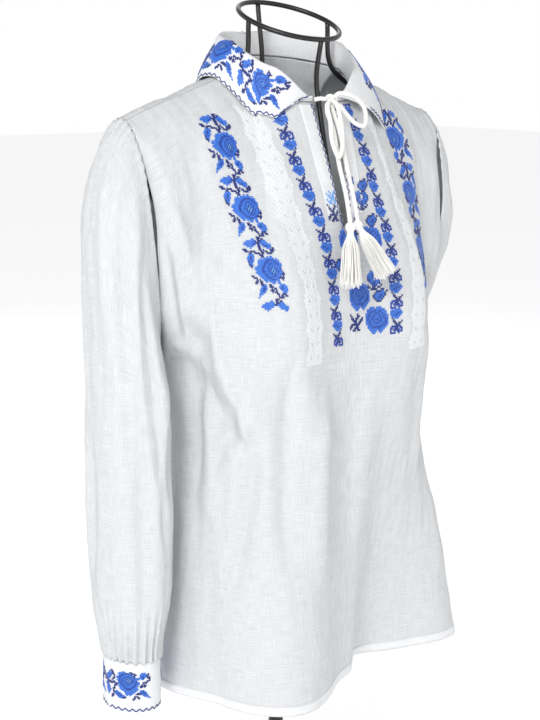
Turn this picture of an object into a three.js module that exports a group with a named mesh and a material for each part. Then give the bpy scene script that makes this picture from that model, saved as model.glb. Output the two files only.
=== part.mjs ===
// A Romanian ie, a white cotton blouse with blue cross-stitch, dressed on a small wire dress form.
//
// Millimetres, +Z up. The origin is the middle of the base plate's underside, the blouse faces -Y,
// and the wearer's right sleeve hangs at -X. Heights below are taken from a level 130 mm under the
// hem; the whole is lifted by STAND_RISE at the end, so that the base plate stands on zero. Each
// panel that is cut and sewn is one thin wall, and each bent wire of the form is one rod, so every
// mesh here is one real piece.
import * as THREE from "three";

// ---- Driving dimensions of the blouse ----
const CLOTH = 1.2; // thickness of a single layer of cloth
const SEAM = 0.4; // gap left between two pieces where they are sewn together
const HEM_Z = 130; // height of the hem over that level
const BODY_LENGTH = 575; // shoulder tip down to the hem
const SHOULDER_HALF = 198; // centre line to shoulder tip
const SHOULDER_DROP = 44; // how far the shoulder seam falls from neck to tip
const SHOULDER_SEAM_Y = -10; // the seam lies just in front of the shoulder's ridge
const NECK_HALF = 70;
const NECK_FRONT_Y = -64;
const NECK_BACK_Y = 50;
const NECK_FRONT_DROP = 30; // front neckline under the neck point
const NECK_BACK_RISE = 14; // back neckline over the neck point
const ARMHOLE_DEPTH = 232; // shoulder tip down to the underarm
const CHEST = { half: 152, front: 112, back: 92 }; // half sizes of the level section at the underarm
const HEM = { half: 150, front: 132, back: 116 };
const WAIST = { in: 13, down: 0.3, over: 0.26 }; // how far the sides and back draw in, and where
const SQUARENESS = { front: 3.2, back: 2.4 }; // 2 would make a section an ellipse
const BUST = { x: 86, z: 535, across: 44, above: 62, below: 150, out: 20 }; // fullness at each breast
const SLIT_LENGTH = 126; // front opening, measured down from the neckline
const SLIT_HALF = 14; // half its width at the neckline

// ---- Driving dimensions of the sleeves, cuffs and collar ----
const BICEP_Z = 430; // first level ring of the sleeve, under the armhole
const CUFF_TOP_Z = 183;
const CUFF_HEIGHT = 51;
const SLEEVE_RIGHT = { x: 200, y: -12, cuffX: 203, cuffY: -16 }; // middle of the sleeve, top and wrist
const SLEEVE_LEFT = { x: 192, y: 36, cuffX: 186, cuffY: 52 }; // hangs a little further back
const BICEP = { x: 35, y: 46 }; // half sizes of the sleeve's ring at the bicep
const CUFF = { x: 26, y: 32 };
const CUFF_CLOTH = 2; // a cuff is folded double
const COLLAR_CLOTH = 1.6;
const COLLAR_LIFT = 3.4; // the fall lies this far over the panels
const COLLAR_ROLL = 0.36; // share of the collar's depth that is the stand

// ---- Driving dimensions of the tie ----
const CORD_R = 2.1;
const KNOT_R = 6;
const TASSEL_HEAD_R = 4.8;
const TASSEL_R = 6.5;

// ---- Driving dimensions of the wire form ----
const WIRE_R = 2.5;
const WIRE_GAP = 0.4; // welded wires are kept this far apart
const NECK_RING = { radius: 52, y: -12, z: 798, tilt: 21 }; // tilted forwards, in degrees
const BUST_RING = { z: 545, half: 116, front: 94, back: 74 };
const WAIST_RING = { z: 400, half: 92, front: 76, back: 64 };
const HIP_RING = { z: 262, half: 98, front: 70, back: 72 };
const STAND_RISE = 70; // the base plate's underside lies this far under the level above
const BASE_R = 125;
const BASE_THICK = 6;
const POST_R = 8;

const SHOULDER_Z = HEM_Z + BODY_LENGTH;
const NECK_Z = SHOULDER_Z + SHOULDER_DROP;
const CHEST_Z = SHOULDER_Z - ARMHOLE_DEPTH;
const NECK_SHARE = 0.36; // share of a half panel's columns that meet the neckline
const CHEST_SHARE = 0.46; // share of a panel's rows that lie over the chest line
const SLIT_BOTTOM_Z = NECK_Z - NECK_FRONT_DROP - SLIT_LENGTH;

// Folds of the skirt of the blouse. Each runs down at one angle from the centre front, positive to
// the wearer's left, and reaches its depth, outwards or inwards, at the hem.
const FOLDS = [
  { at: -34, depth: 24, wide: 17 },
  { at: -5, depth: -16, wide: 13 },
  { at: 31, depth: -64, wide: 24 },
  { at: 67, depth: 54, wide: 14 },
  { at: 96, depth: -16, wide: 12 },
  { at: 122, depth: 12, wide: 12 },
  { at: 147, depth: -14, wide: 12 },
  { at: 173, depth: 9, wide: 12 },
  { at: -160, depth: -13, wide: 12 },
  { at: -136, depth: 10, wide: 11 },
  { at: -112, depth: -16, wide: 12 },
  { at: -86, depth: 6, wide: 10 },
  { at: -64, depth: -6, wide: 9 },
];

const WHITE = 0xf1f1ee;
const cotton = new THREE.MeshStandardMaterial({ color: WHITE, roughness: 0.9, metalness: 0 });
const cordCotton = new THREE.MeshStandardMaterial({ color: 0xf7f6f1, roughness: 0.8, metalness: 0 });
const blackWire = new THREE.MeshStandardMaterial({ color: 0x17171a, roughness: 0.45, metalness: 0.3 });

const v3 = (x, y, z) => new THREE.Vector3(x, y, z);
const lerp = (a, b, t) => a + (b - a) * t;
const clamp01 = (t) => Math.min(1, Math.max(0, t));
const smooth = (t) => {
  const c = clamp01(t);
  return c * c * (3 - 2 * c);
};
const bell = (x) => Math.exp(-x * x);
const radians = THREE.MathUtils.degToRad;

function bezier(p0, p1, p2, p3, t) {
  const s = 1 - t;
  return p0
    .clone()
    .multiplyScalar(s * s * s)
    .addScaledVector(p1, 3 * s * s * t)
    .addScaledVector(p2, 3 * s * t * t)
    .addScaledVector(p3, t * t * t);
}

// ---- Walls of cloth ----

// A closed wall: the outer surface, the same surface moved in by the cloth's thickness, and a rim
// along every edge that only one quad uses. Quads turn counter-clockwise as seen from outside. At
// the points in level the wall is cut square to Y, so that two panels meet along their seam.
function wallGeometry(points, quads, thickness, level = new Set()) {
  const normals = points.map(() => v3(0, 0, 0));
  const one = v3(0, 0, 0);
  const two = v3(0, 0, 0);
  for (const q of quads) {
    one.subVectors(points[q[2]], points[q[0]]);
    two.subVectors(points[q[3]], points[q[1]]);
    one.cross(two);
    q.forEach((i) => normals[i].add(one));
  }
  level.forEach((i) => normals[i].setY(0));
  const inner = points.map((p, i) => p.clone().addScaledVector(normals[i].normalize(), -thickness));
  const count = points.length;
  const index = [];
  const uses = new Map();
  for (const [a, b, c, d] of quads) {
    index.push(a, b, c, a, c, d);
    index.push(a + count, c + count, b + count, a + count, d + count, c + count);
    for (const [from, to] of [[a, b], [b, c], [c, d], [d, a]]) {
      const key = Math.min(from, to) + "_" + Math.max(from, to);
      uses.set(key, uses.has(key) ? null : [from, to]);
    }
  }
  for (const edge of uses.values()) {
    if (!edge) continue;
    const [from, to] = edge;
    index.push(to, from, from + count, to, from + count, to + count);
  }
  const positions = new Float32Array(count * 6);
  points.concat(inner).forEach((p, i) => positions.set([p.x, p.y, p.z], i * 3));
  const geometry = new THREE.BufferGeometry();
  geometry.setAttribute("position", new THREE.BufferAttribute(positions, 3));
  geometry.setIndex(index);
  return geometry;
}

// A grid of points with its quads. A wrapped grid closes on itself across its columns.
function grid(columns, rows, pointAt, { wrapped = false, flipped = false } = {}) {
  const points = [];
  const across = wrapped ? columns : columns + 1;
  for (let j = 0; j <= rows; j++)
    for (let i = 0; i < across; i++) points.push(pointAt(i / columns, j / rows));
  const quads = [];
  for (let j = 0; j < rows; j++)
    for (let i = 0; i < columns; i++) {
      const next = wrapped ? (i + 1) % columns : i + 1;
      const quad = [j * across + i, (j + 1) * across + i, (j + 1) * across + next, j * across + next];
      quads.push(flipped ? quad.reverse() : quad);
    }
  return { points, quads };
}

function piece(name, geometry, material) {
  geometry.computeVertexNormals();
  const mesh = new THREE.Mesh(geometry, material);
  mesh.name = name;
  return mesh;
}

// ---- The torso ----

// How far the folds push a point of the skirt out, at an angle in degrees from the centre front.
function foldOut(angle, down) {
  let out = 0;
  for (const fold of FOLDS) {
    let away = (angle - fold.at) % 360;
    if (away > 180) away -= 360;
    if (away < -180) away += 360;
    out += fold.depth * bell(away / fold.wide);
  }
  return out * Math.pow(down, 1.25);
}

// How far the bust pushes the cloth forwards. Below it the cloth hangs straight, so it dies slowly.
function bustOut(x, z) {
  const high = z > BUST.z ? BUST.above : BUST.below;
  return BUST.out * bell((Math.abs(x) - BUST.x) / BUST.across) * bell((z - BUST.z) / high);
}

// A point of the skirt: share 0 is the centre, 1 the side seam; down is 0 at the chest, 1 at the hem.
function skirtPoint(side, back, share, down) {
  const nip = WAIST.in * bell((down - WAIST.down) / WAIST.over) - WAIST.in * bell(WAIST.down / WAIST.over);
  const half = lerp(CHEST.half, HEM.half, down) - nip;
  const deep = back ? lerp(CHEST.back, HEM.back, down) - nip : -lerp(CHEST.front, HEM.front, down);
  const turn = radians(90 * share);
  const power = 2 / (back ? SQUARENESS.back : SQUARENESS.front);
  const across = Math.pow(Math.sin(turn), power);
  const forward = Math.pow(Math.max(Math.cos(turn), 0), power);
  const point = v3(side * half * across, deep * forward, lerp(CHEST_Z, HEM_Z, down));
  const outward = v3(side * across / half, forward / deep, 0).normalize();
  const angle = THREE.MathUtils.radToDeg(Math.atan2(point.x, -point.y));
  point.addScaledVector(outward, foldOut(angle, down));
  if (!back) point.y -= bustOut(point.x, point.z) * (1 - share * share);
  return point;
}

// The upper edge of a half panel: the neckline, then the shoulder seam out to the tip.
function upperEdge(back, share) {
  if (share >= NECK_SHARE) {
    const along = (share - NECK_SHARE) / (1 - NECK_SHARE);
    const y = SHOULDER_SEAM_Y - 2 + 2 * along + (back ? 2.6 * SEAM : 0);
    return v3(lerp(NECK_HALF, SHOULDER_HALF, along), y, NECK_Z - SHOULDER_DROP * along);
  }
  const along = share / NECK_SHARE;
  const turn = radians(90 * along);
  const sideY = SHOULDER_SEAM_Y - 2 + (back ? 2.6 * SEAM : 0);
  if (back)
    return v3(
      NECK_HALF * Math.sin(turn),
      lerp(sideY, NECK_BACK_Y, Math.cos(turn)),
      NECK_Z + NECK_BACK_RISE * (1 - along * along),
    );
  return v3(
    SLIT_HALF + (NECK_HALF - SLIT_HALF) * Math.sin(turn),
    lerp(sideY, NECK_FRONT_Y, Math.cos(turn)),
    NECK_Z - NECK_FRONT_DROP * (1 - along * along),
  );
}

// A point of a half panel over the chest line, on the curve that its column makes.
function upperPoint(side, back, share, along) {
  const top = upperEdge(back, share);
  const bottom = skirtPoint(1, back, share, 0);
  if (share >= 1) bottom.y = back ? SEAM / 2 : -SEAM / 2;
  const overNeck = smooth((share - NECK_SHARE * (back ? 0.5 : 0.15)) / (NECK_SHARE * 0.8));
  const leave = back
    ? v3(0, lerp(0.42, 0.94, overNeck), lerp(-0.9, 0.3, overNeck))
    : v3(0, lerp(-0.42, -0.82, overNeck), lerp(-0.9, -0.56, overNeck));
  const towardsArm = smooth((share - 0.72) / 0.28);
  const reach = lerp(back ? 46 : 66, back ? 58 : 62, towardsArm);
  const arrive = v3(0, 0, back ? 165 : 92).lerp(v3(42, back ? 60 : -60, 28), towardsArm);
  const start = top.clone().addScaledVector(leave.normalize(), reach);
  if (!back) bottom.y += bustOut(bottom.x, bottom.z) * (1 - share * share);
  const point = bezier(top, start, bottom.clone().add(arrive), bottom, along);
  if (!back) point.y -= bustOut(point.x, point.z) * (1 - share * share) * smooth(along / 0.3);
  point.x *= side;
  return point;
}

// A point of a whole panel: across runs from the wearer's right, -1, to the left, 1.
function panelPoint(back, across, down) {
  const side = across < 0 ? -1 : 1;
  const share = Math.abs(across);
  if (down <= CHEST_SHARE) return upperPoint(side, back, share, down / CHEST_SHARE);
  const point = skirtPoint(side, back, share, (down - CHEST_SHARE) / (1 - CHEST_SHARE));
  if (share >= 1) point.y += back ? SEAM / 2 : -SEAM / 2;
  return point;
}

// Half the width of the front opening at a height.
function slitHalf(z) {
  const up = clamp01((z - SLIT_BOTTOM_Z) / SLIT_LENGTH);
  return SLIT_HALF * Math.pow(up, 0.55);
}

// Whether a point of a panel lies on the side seam or on the shoulder seam.
function onSeam(share, down) {
  if (share > 0.999) return down > CHEST_SHARE - 1e-6;
  return down === 0 && share > NECK_SHARE - 0.02;
}

// The front is two half grids that share their centre points under the slit.
function frontPanel() {
  const halfColumns = 12;
  const upperRows = 10;
  const lowerRows = 8;
  const downs = [];
  for (let j = 0; j <= upperRows; j++) downs.push((CHEST_SHARE * j) / upperRows);
  for (let j = 1; j <= lowerRows; j++) downs.push(lerp(CHEST_SHARE, 1, j / lowerRows));
  const points = [];
  const quads = [];
  const level = new Set();
  const shared = new Map();
  for (const side of [-1, 1]) {
    const at = [];
    downs.forEach((down, j) => {
      at.push([]);
      for (let i = 0; i <= halfColumns; i++) {
        const share = i / halfColumns;
        const point = panelPoint(false, side * share, down);
        const half = slitHalf(point.z);
        if (i === 0) point.x = side * half;
        if (i === 0 && half < 0.5) {
          point.x = 0;
          if (shared.has(j)) {
            at[j].push(shared.get(j));
            continue;
          }
          shared.set(j, points.length);
        }
        if (onSeam(share, down)) level.add(points.length);
        at[j].push(points.length);
        points.push(point);
      }
    });
    for (let j = 0; j + 1 < downs.length; j++)
      for (let i = 0; i < halfColumns; i++) {
        const quad = [at[j][i], at[j + 1][i], at[j + 1][i + 1], at[j][i + 1]];
        quads.push(side > 0 ? quad : quad.reverse());
      }
  }
  return piece("front_panel", wallGeometry(points, quads, CLOTH, level), cotton);
}

function backPanel() {
  const columns = 22;
  const made = grid(columns, 16, (i, j) => panelPoint(true, 1 - 2 * i, j));
  const level = new Set();
  for (let j = 0; j <= 16; j++)
    for (let i = 0; i <= columns; i++)
      if (onSeam(Math.abs(1 - (2 * i) / columns), j / 16)) level.add(j * (columns + 1) + i);
  return piece("back_panel", wallGeometry(made.points, made.quads, CLOTH, level), cotton);
}

// ---- Sleeves and cuffs, made for the wearer's left and mirrored for the right ----

// The armhole, from the shoulder tip down the front edge, round the underarm and up the back edge.
function armholePoint(turn) {
  const back = turn > 0.5;
  return upperPoint(1, back, 1, back ? 2 - 2 * turn : 2 * turn);
}

function sleeveRing(hang, turn, down) {
  const angle = turn * Math.PI * 2;
  const taper = smooth((down - 0.55) / 0.45);
  const puff = 4 * bell((down - 0.78) / 0.16);
  const x = lerp(BICEP.x, CUFF.x, taper) + puff;
  const y = lerp(BICEP.y, CUFF.y, taper) + puff;
  const fold = 6 * bell((turn - 0.19) / 0.045) + 4 * bell((turn - 0.68) / 0.06);
  const shrink = 1 - (fold / BICEP.y) * (1 - taper);
  return v3(
    lerp(hang.x, hang.cuffX, down) + x * shrink * Math.cos(angle),
    lerp(hang.y, hang.cuffY, down) - y * shrink * Math.sin(angle),
    lerp(BICEP_Z, CUFF_TOP_Z + SEAM, down),
  );
}

const CAP_SHARE = 0.45; // share of the sleeve's rows over the bicep ring

function sleevePoint(hang, turn, along) {
  if (along >= CAP_SHARE) return sleeveRing(hang, turn, (along - CAP_SHARE) / (1 - CAP_SHARE));
  const top = armholePoint(turn);
  const bottom = sleeveRing(hang, turn, 0);
  // 0 on the shoulder, 1 under the arm.
  const under = Math.pow(0.5 - 0.5 * Math.cos(turn * Math.PI * 2), 1.4);
  const front = Math.sin(turn * Math.PI * 2);
  const leave = v3(lerp(0.8, 0.5, under), -0.1 * front, lerp(-0.6, -0.86, under)).normalize();
  const fall = Math.max(top.z - bottom.z, 1);
  top.x += SEAM * 3;
  const start = top.clone().addScaledVector(leave, 0.22 * fall);
  const end = bottom.clone().add(v3(0, 0, 0.42 * fall));
  return bezier(top, start, end, bottom, along / CAP_SHARE);
}

function sleeve(name, side, hang) {
  const point = (i, j) => sleevePoint(hang, i, j).multiply(v3(side, 1, 1));
  const made = grid(26, 15, point, { wrapped: true, flipped: side < 0 });
  return piece(name, wallGeometry(made.points, made.quads, CLOTH), cotton);
}

function cuff(name, side, hang) {
  const made = grid(26, 2, (i, j) => {
    const angle = i * Math.PI * 2;
    const grow = 1 + 0.015 * j;
    return v3(
      side * (hang.cuffX + CUFF.x * grow * Math.cos(angle)),
      hang.cuffY - CUFF.y * grow * Math.sin(angle),
      CUFF_TOP_Z - CUFF_HEIGHT * j,
    );
  }, { wrapped: true, flipped: side < 0 });
  return piece(name, wallGeometry(made.points, made.quads, CUFF_CLOTH), cotton);
}

// ---- Collar ----

// Height of the blouse's upper surface over a place in plan, found on a fine net of both panels.
const netCells = [];
for (const back of [false, true])
  for (const side of [-1, 1])
    for (let j = 0; j < 30; j++)
      for (let i = 0; i < 30; i++) {
        const corner = (a, b) => upperPoint(side, back, (i + a) / 30, ((j + b) / 30) * 0.8);
        netCells.push([corner(0, 0), corner(0, 1), corner(1, 1)]);
        netCells.push([corner(0, 0), corner(1, 1), corner(1, 0)]);
      }

function surfaceZ(x, y) {
  let best = -Infinity;
  for (const [a, b, c] of netCells) {
    const whole = (b.x - a.x) * (c.y - a.y) - (c.x - a.x) * (b.y - a.y);
    if (Math.abs(whole) < 1e-9) continue;
    const second = ((x - a.x) * (c.y - a.y) - (c.x - a.x) * (y - a.y)) / whole;
    const third = ((b.x - a.x) * (y - a.y) - (x - a.x) * (b.y - a.y)) / whole;
    if (second < -1e-6 || third < -1e-6 || second + third > 1 + 1e-6) continue;
    best = Math.max(best, a.z + second * (b.z - a.z) + third * (c.z - a.z));
  }
  return best;
}

// The neckline all round, from the front of the wearer's right, 0, past the back, to the left, 1.
function necklinePoint(around) {
  const side = around < 0.5 ? -1 : 1;
  const fromFront = around < 0.5 ? around * 2 : 2 - around * 2; // 0 at the front, 1 at the back
  const back = fromFront > 0.5;
  const share = NECK_SHARE * (back ? 2 - 2 * fromFront : 2 * fromFront);
  const point = upperEdge(back, share);
  point.x *= side;
  return point;
}

// The outer edge of the fall in plan, from the corner in front to the nape, as if both sides were at
// +X. The right corner is tucked back and rounder, the left one points outwards.
const fallEdge = (...corners) =>
  new THREE.SplineCurve(corners.map(([x, y]) => new THREE.Vector2(x, y)));
const FALL_EDGE = {
  right: fallEdge(
    [41, -65], [60, -63], [75, -51], [88, -32], [97, -8], [93, 22], [72, 47], [38, 64], [0, 70],
  ),
  left: fallEdge([95, -55], [101, -44], [104, -28], [105, -8], [97, 20], [73, 47], [38, 64], [0, 70]),
};

// Height of the collar's fall over a place in plan: a set distance off the panels' slope.
function lyingZ(x, y) {
  const here = surfaceZ(x, y);
  const alongX = surfaceZ(x + 2, y) - surfaceZ(x - 2, y);
  const alongY = surfaceZ(x, y + 2) - surfaceZ(x, y - 2);
  const slope = Math.hypot(alongX, alongY) / 4;
  return here + COLLAR_LIFT * Math.hypot(1, Number.isFinite(slope) ? Math.min(slope, 3) : 1);
}

// Height of the collar's roll over the neckline.
function rollHeight(fromFront) {
  return lerp(5, 27, smooth(fromFront / 0.24)) - 3 * smooth((fromFront - 0.4) / 0.6);
}

function collarPoint(around, over) {
  const neck = necklinePoint(around);
  const side = around < 0.5 ? -1 : 1;
  const fromFront = around < 0.5 ? around * 2 : 2 - around * 2;
  const outward = v3(neck.x, neck.y + 8, 0).normalize();
  const foot = neck.clone().addScaledVector(outward, -0.8);
  foot.z += SEAM + 0.6;
  const roll = foot.clone().addScaledVector(outward, 2.5);
  roll.z += rollHeight(fromFront);
  if (over <= COLLAR_ROLL) {
    const up = over / COLLAR_ROLL;
    return foot.clone().lerp(roll, up).addScaledVector(outward, -2 * Math.sin(up * Math.PI));
  }
  const down = (over - COLLAR_ROLL) / (1 - COLLAR_ROLL);
  const edge = FALL_EDGE[side < 0 ? "right" : "left"].getPoint(fromFront);
  const out = Math.pow(down, 0.85);
  const plan = v3(lerp(roll.x, side * edge.x, out), lerp(roll.y, edge.y, out), 0);
  const edgeZ = lyingZ(side * edge.x, edge.y);
  plan.z = Math.max(lerp(roll.z, edgeZ, Math.pow(down, 1.35)), lyingZ(plan.x, plan.y));
  return plan;
}

function collar() {
  const made = grid(32, 8, collarPoint, { flipped: true });
  return piece("collar", wallGeometry(made.points, made.quads, COLLAR_CLOTH), cotton);
}

// ---- Tie cords and tassels ----

function circle(radius, sides) {
  const shape = new THREE.Shape();
  for (let i = 0; i < sides; i++) {
    const angle = (i / sides) * Math.PI * 2;
    if (i === 0) shape.moveTo(radius, 0);
    else shape.lineTo(radius * Math.cos(angle), radius * Math.sin(angle));
  }
  shape.closePath();
  return shape;
}

// A rod along a smooth curve through these points.
function rod(name, points, radius, steps, material, sides = 6) {
  const path = new THREE.CatmullRomCurve3(points, false, "centripetal");
  const settings = { extrudePath: path, steps, bevelEnabled: false, curveSegments: 1 };
  return piece(name, new THREE.ExtrudeGeometry(circle(radius, sides), settings), material);
}

const KNOT = v3(-3, -78, 722);

function tieKnot() {
  const ball = new THREE.SphereGeometry(KNOT_R, 12, 8);
  ball.scale(1, 0.85, 0.95);
  ball.translate(KNOT.x, KNOT.y, KNOT.z);
  return piece("tie_knot", ball, cordCotton);
}

// A stretch of cord that starts at the knot and leaves it in one direction.
function fromKnot(name, leave, ...rest) {
  const out = leave.clone().normalize();
  const start = KNOT.clone().addScaledVector(out, KNOT_R + 0.4);
  const points = [start, KNOT.clone().addScaledVector(out, KNOT_R + 5)];
  return rod(name, points.concat(rest), CORD_R, 4 + 4 * rest.length, cordCotton);
}

// A bow loop: out from the knot, round, and back to it.
function bowLoop(name, leave, back, ...rest) {
  const home = back.clone().normalize();
  const end = KNOT.clone().addScaledVector(home, KNOT_R + 0.4);
  return fromKnot(name, leave, ...rest, KNOT.clone().addScaledVector(home, KNOT_R + 5), end);
}

// A tassel: a round head, a neck, and a skirt of threads that widens a little, along one line.
function tassel(name, head, end) {
  const length = head.distanceTo(end);
  const profile = [
    [0, -TASSEL_HEAD_R],
    [0.7 * TASSEL_HEAD_R, -0.7 * TASSEL_HEAD_R],
    [TASSEL_HEAD_R, 0],
    [0.72 * TASSEL_HEAD_R, 0.7 * TASSEL_HEAD_R],
    [0.66 * TASSEL_HEAD_R, TASSEL_HEAD_R],
    [0.8 * TASSEL_R, 0.35 * length],
    [TASSEL_R, length],
    [0, length],
  ].map(([r, y]) => new THREE.Vector2(r, y));
  const body = new THREE.LatheGeometry(profile, 12);
  const along = end.clone().sub(head).normalize();
  body.applyQuaternion(new THREE.Quaternion().setFromUnitVectors(v3(0, 1, 0), along));
  body.translate(head.x, head.y, head.z);
  return piece(name, body, cordCotton);
}

function tie() {
  const group = new THREE.Group();
  const heads = { right: v3(-14, -121, 602), left: v3(-2.5, -119, 603) };
  group.add(tieKnot());
  group.add(fromKnot("tie_lead_right", v3(-0.95, 0.5, 0.1), v3(-16, -69.5, 722)));
  group.add(fromKnot("tie_lead_left", v3(0.95, 0.5, 0.1), v3(13, -69.5, 722)));
  group.add(bowLoop("tie_loop_left", v3(0.75, -0.35, 0.55), v3(0.72, -0.4, -0.55),
    v3(22, -86, 724), v3(34, -88, 712), v3(31, -91, 697), v3(19, -91, 699)));
  group.add(bowLoop("tie_loop_right", v3(-0.75, -0.4, -0.5), v3(-0.15, -0.95, -0.3),
    v3(-13, -89, 703), v3(-16, -96, 682), v3(-12, -101, 668), v3(-6, -99, 676), v3(-3, -95, 694)));
  const overHead = v3(0, 0, TASSEL_HEAD_R + 0.4);
  group.add(fromKnot("tie_end_right", v3(-0.3, 0.1, -0.95),
    v3(-6, -86, 694), v3(-8, -97, 662), v3(-10, -110, 632), heads.right.clone().add(overHead)));
  group.add(fromKnot("tie_end_left", v3(0.4, 0.1, -0.93),
    v3(1, -88, 690), v3(1, -98, 660), v3(-1, -111, 630), heads.left.clone().add(overHead)));
  group.add(tassel("tassel_right", heads.right, v3(-23, -133, 549)));
  group.add(tassel("tassel_left", heads.left, v3(23, -134, 556)));
  return group;
}

// ---- The wire form ----

// A place on a level ring, at an angle from the centre front.
function ringPoint(ring, degrees, inset = 0) {
  const turn = radians(degrees);
  const deep = Math.cos(turn) > 0 ? ring.front : ring.back;
  return v3((ring.half - inset) * Math.sin(turn), -(deep - inset) * Math.cos(turn), ring.z);
}

function neckRingPoint(degrees, below = 0) {
  const turn = radians(degrees);
  const tilt = radians(NECK_RING.tilt);
  const forward = NECK_RING.radius * Math.cos(turn);
  return v3(
    NECK_RING.radius * Math.sin(turn),
    NECK_RING.y - forward * Math.cos(tilt) + below * Math.sin(tilt),
    NECK_RING.z - forward * Math.sin(tilt) - below * Math.cos(tilt),
  );
}

function wireRing(name, pointAt) {
  const points = [];
  for (let i = 0; i < 24; i++) points.push(pointAt(i * 15));
  const path = new THREE.CatmullRomCurve3(points, true, "centripetal");
  return piece(name, new THREE.TubeGeometry(path, 24, WIRE_R, 6, true), blackWire);
}

// An upright wire inside the bust, waist and hip rings. The front and back ones reach the neck ring.
function rib(name, degrees) {
  const inset = WIRE_R * 2 + WIRE_GAP + 0.3;
  const upper = [
    neckRingPoint(degrees, WIRE_R * 2 + WIRE_GAP),
    ringPoint({ half: 48, front: 54, back: 30, z: 742 }, degrees),
    ringPoint({ half: 84, front: 62, back: 50, z: 700 }, degrees),
    ringPoint({ half: 108, front: 78, back: 66, z: 630 }, degrees),
  ];
  const lower = [
    ringPoint({ ...BUST_RING, z: BUST_RING.z + 12 }, degrees, inset),
    ringPoint(BUST_RING, degrees, inset),
    ringPoint({ half: 98, front: 84, back: 64, z: 470 }, degrees),
    ringPoint(WAIST_RING, degrees, inset),
    ringPoint({ half: 90, front: 66, back: 62, z: 330 }, degrees),
    ringPoint(HIP_RING, degrees, inset),
    ringPoint({ ...HIP_RING, z: HIP_RING.z - 12 }, degrees, inset),
  ];
  const points = degrees % 180 === 0 ? upper.concat(lower.slice(1)) : lower;
  return rod(name, points, WIRE_R, 20, blackWire);
}

// The shoulder wires carry the blouse: each follows the seam out to the tip and returns to the bust.
function shoulderWire(name, side) {
  const points = [
    neckRingPoint(side * 90, WIRE_R * 2 + WIRE_GAP),
    v3(side * 56, -12, 756),
    v3(side * 78, -11, NECK_Z - 11),
    v3(side * 125, -9, NECK_Z - 27),
    v3(side * 172, -6, SHOULDER_Z + 1),
    v3(side * 181, -2, SHOULDER_Z - 14),
    v3(side * 172, 0, 655),
    v3(side * 140, 0, 590),
    ringPoint(BUST_RING, side * 90, -WIRE_R * 2 - WIRE_GAP).add(v3(0, 0, -6)),
  ];
  return rod(name, points, WIRE_R, 22, blackWire);
}

function hubArm(name, degrees) {
  const outer = ringPoint(HIP_RING, degrees, WIRE_R * 2 + WIRE_GAP);
  const inner = v3(Math.sin(radians(degrees)), -Math.cos(radians(degrees)), 0);
  inner.multiplyScalar(POST_R + WIRE_GAP);
  outer.z = HIP_RING.z - 20;
  inner.z = HIP_RING.z - 20;
  return rod(name, [inner, outer], WIRE_R, 1, blackWire);
}

function disc(name, radius, low, high, sides) {
  const body = new THREE.CylinderGeometry(radius, radius, high - low, sides);
  body.rotateX(Math.PI / 2);
  body.translate(0, 0, (low + high) / 2);
  return piece(name, body, blackWire);
}

function wireForm() {
  const group = new THREE.Group();
  group.add(wireRing("form_neck_ring", neckRingPoint));
  group.add(wireRing("form_bust_ring", (degrees) => ringPoint(BUST_RING, degrees)));
  group.add(wireRing("form_waist_ring", (degrees) => ringPoint(WAIST_RING, degrees)));
  group.add(wireRing("form_hip_ring", (degrees) => ringPoint(HIP_RING, degrees)));
  for (const degrees of [0, 45, 135, 180, 225, 315]) group.add(rib("form_rib_" + degrees, degrees));
  group.add(shoulderWire("form_shoulder_right", -1), shoulderWire("form_shoulder_left", 1));
  for (const degrees of [0, 90, 180, 270]) group.add(hubArm("form_arm_" + degrees, degrees));
  const low = -STAND_RISE;
  group.add(disc("form_post", POST_R, low + BASE_THICK + WIRE_GAP, HIP_RING.z, 12));
  group.add(disc("form_base", BASE_R, low, low + BASE_THICK, 40));
  return group;
}

const dressed = new THREE.Group().add(
  frontPanel(),
  backPanel(),
  sleeve("sleeve_right", -1, SLEEVE_RIGHT),
  sleeve("sleeve_left", 1, SLEEVE_LEFT),
  cuff("cuff_right", -1, SLEEVE_RIGHT),
  cuff("cuff_left", 1, SLEEVE_LEFT),
  collar(),
  tie(),
  wireForm(),
);
dressed.position.z = STAND_RISE;

export default dressed;
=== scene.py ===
"""A Romanian ie blouse with blue cross-stitch, dressed on a black wire dress form.

The blouse faces -Y and the wearer's right sleeve hangs at -X. Lengths in the tables below are
millimetres, heights are taken from a level 130 mm under the hem, and metres() lifts them onto the
base plate. Each cloth piece is a grid moved onto the form of its panel, with its creases on top.
"""

import math

import bmesh
import bpy
import numpy as np
from mathutils import Matrix, Vector
from mathutils.bvhtree import BVHTree


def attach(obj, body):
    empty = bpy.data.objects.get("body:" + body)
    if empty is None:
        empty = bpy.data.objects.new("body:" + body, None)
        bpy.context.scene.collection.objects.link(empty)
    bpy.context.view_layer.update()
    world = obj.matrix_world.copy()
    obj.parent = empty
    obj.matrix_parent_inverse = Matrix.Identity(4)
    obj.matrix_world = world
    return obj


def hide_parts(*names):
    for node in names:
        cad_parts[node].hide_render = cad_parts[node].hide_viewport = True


bl_info = {
    "name": "Romanian ie blouse",
    "version": (1, 0, 0),
    "blender": (4, 5, 0),
    "location": "View3D > Sidebar > Ie blouse",
    "description": "Builds an embroidered Romanian blouse on a wire dress form",
    "category": "Add Mesh",
}

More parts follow.
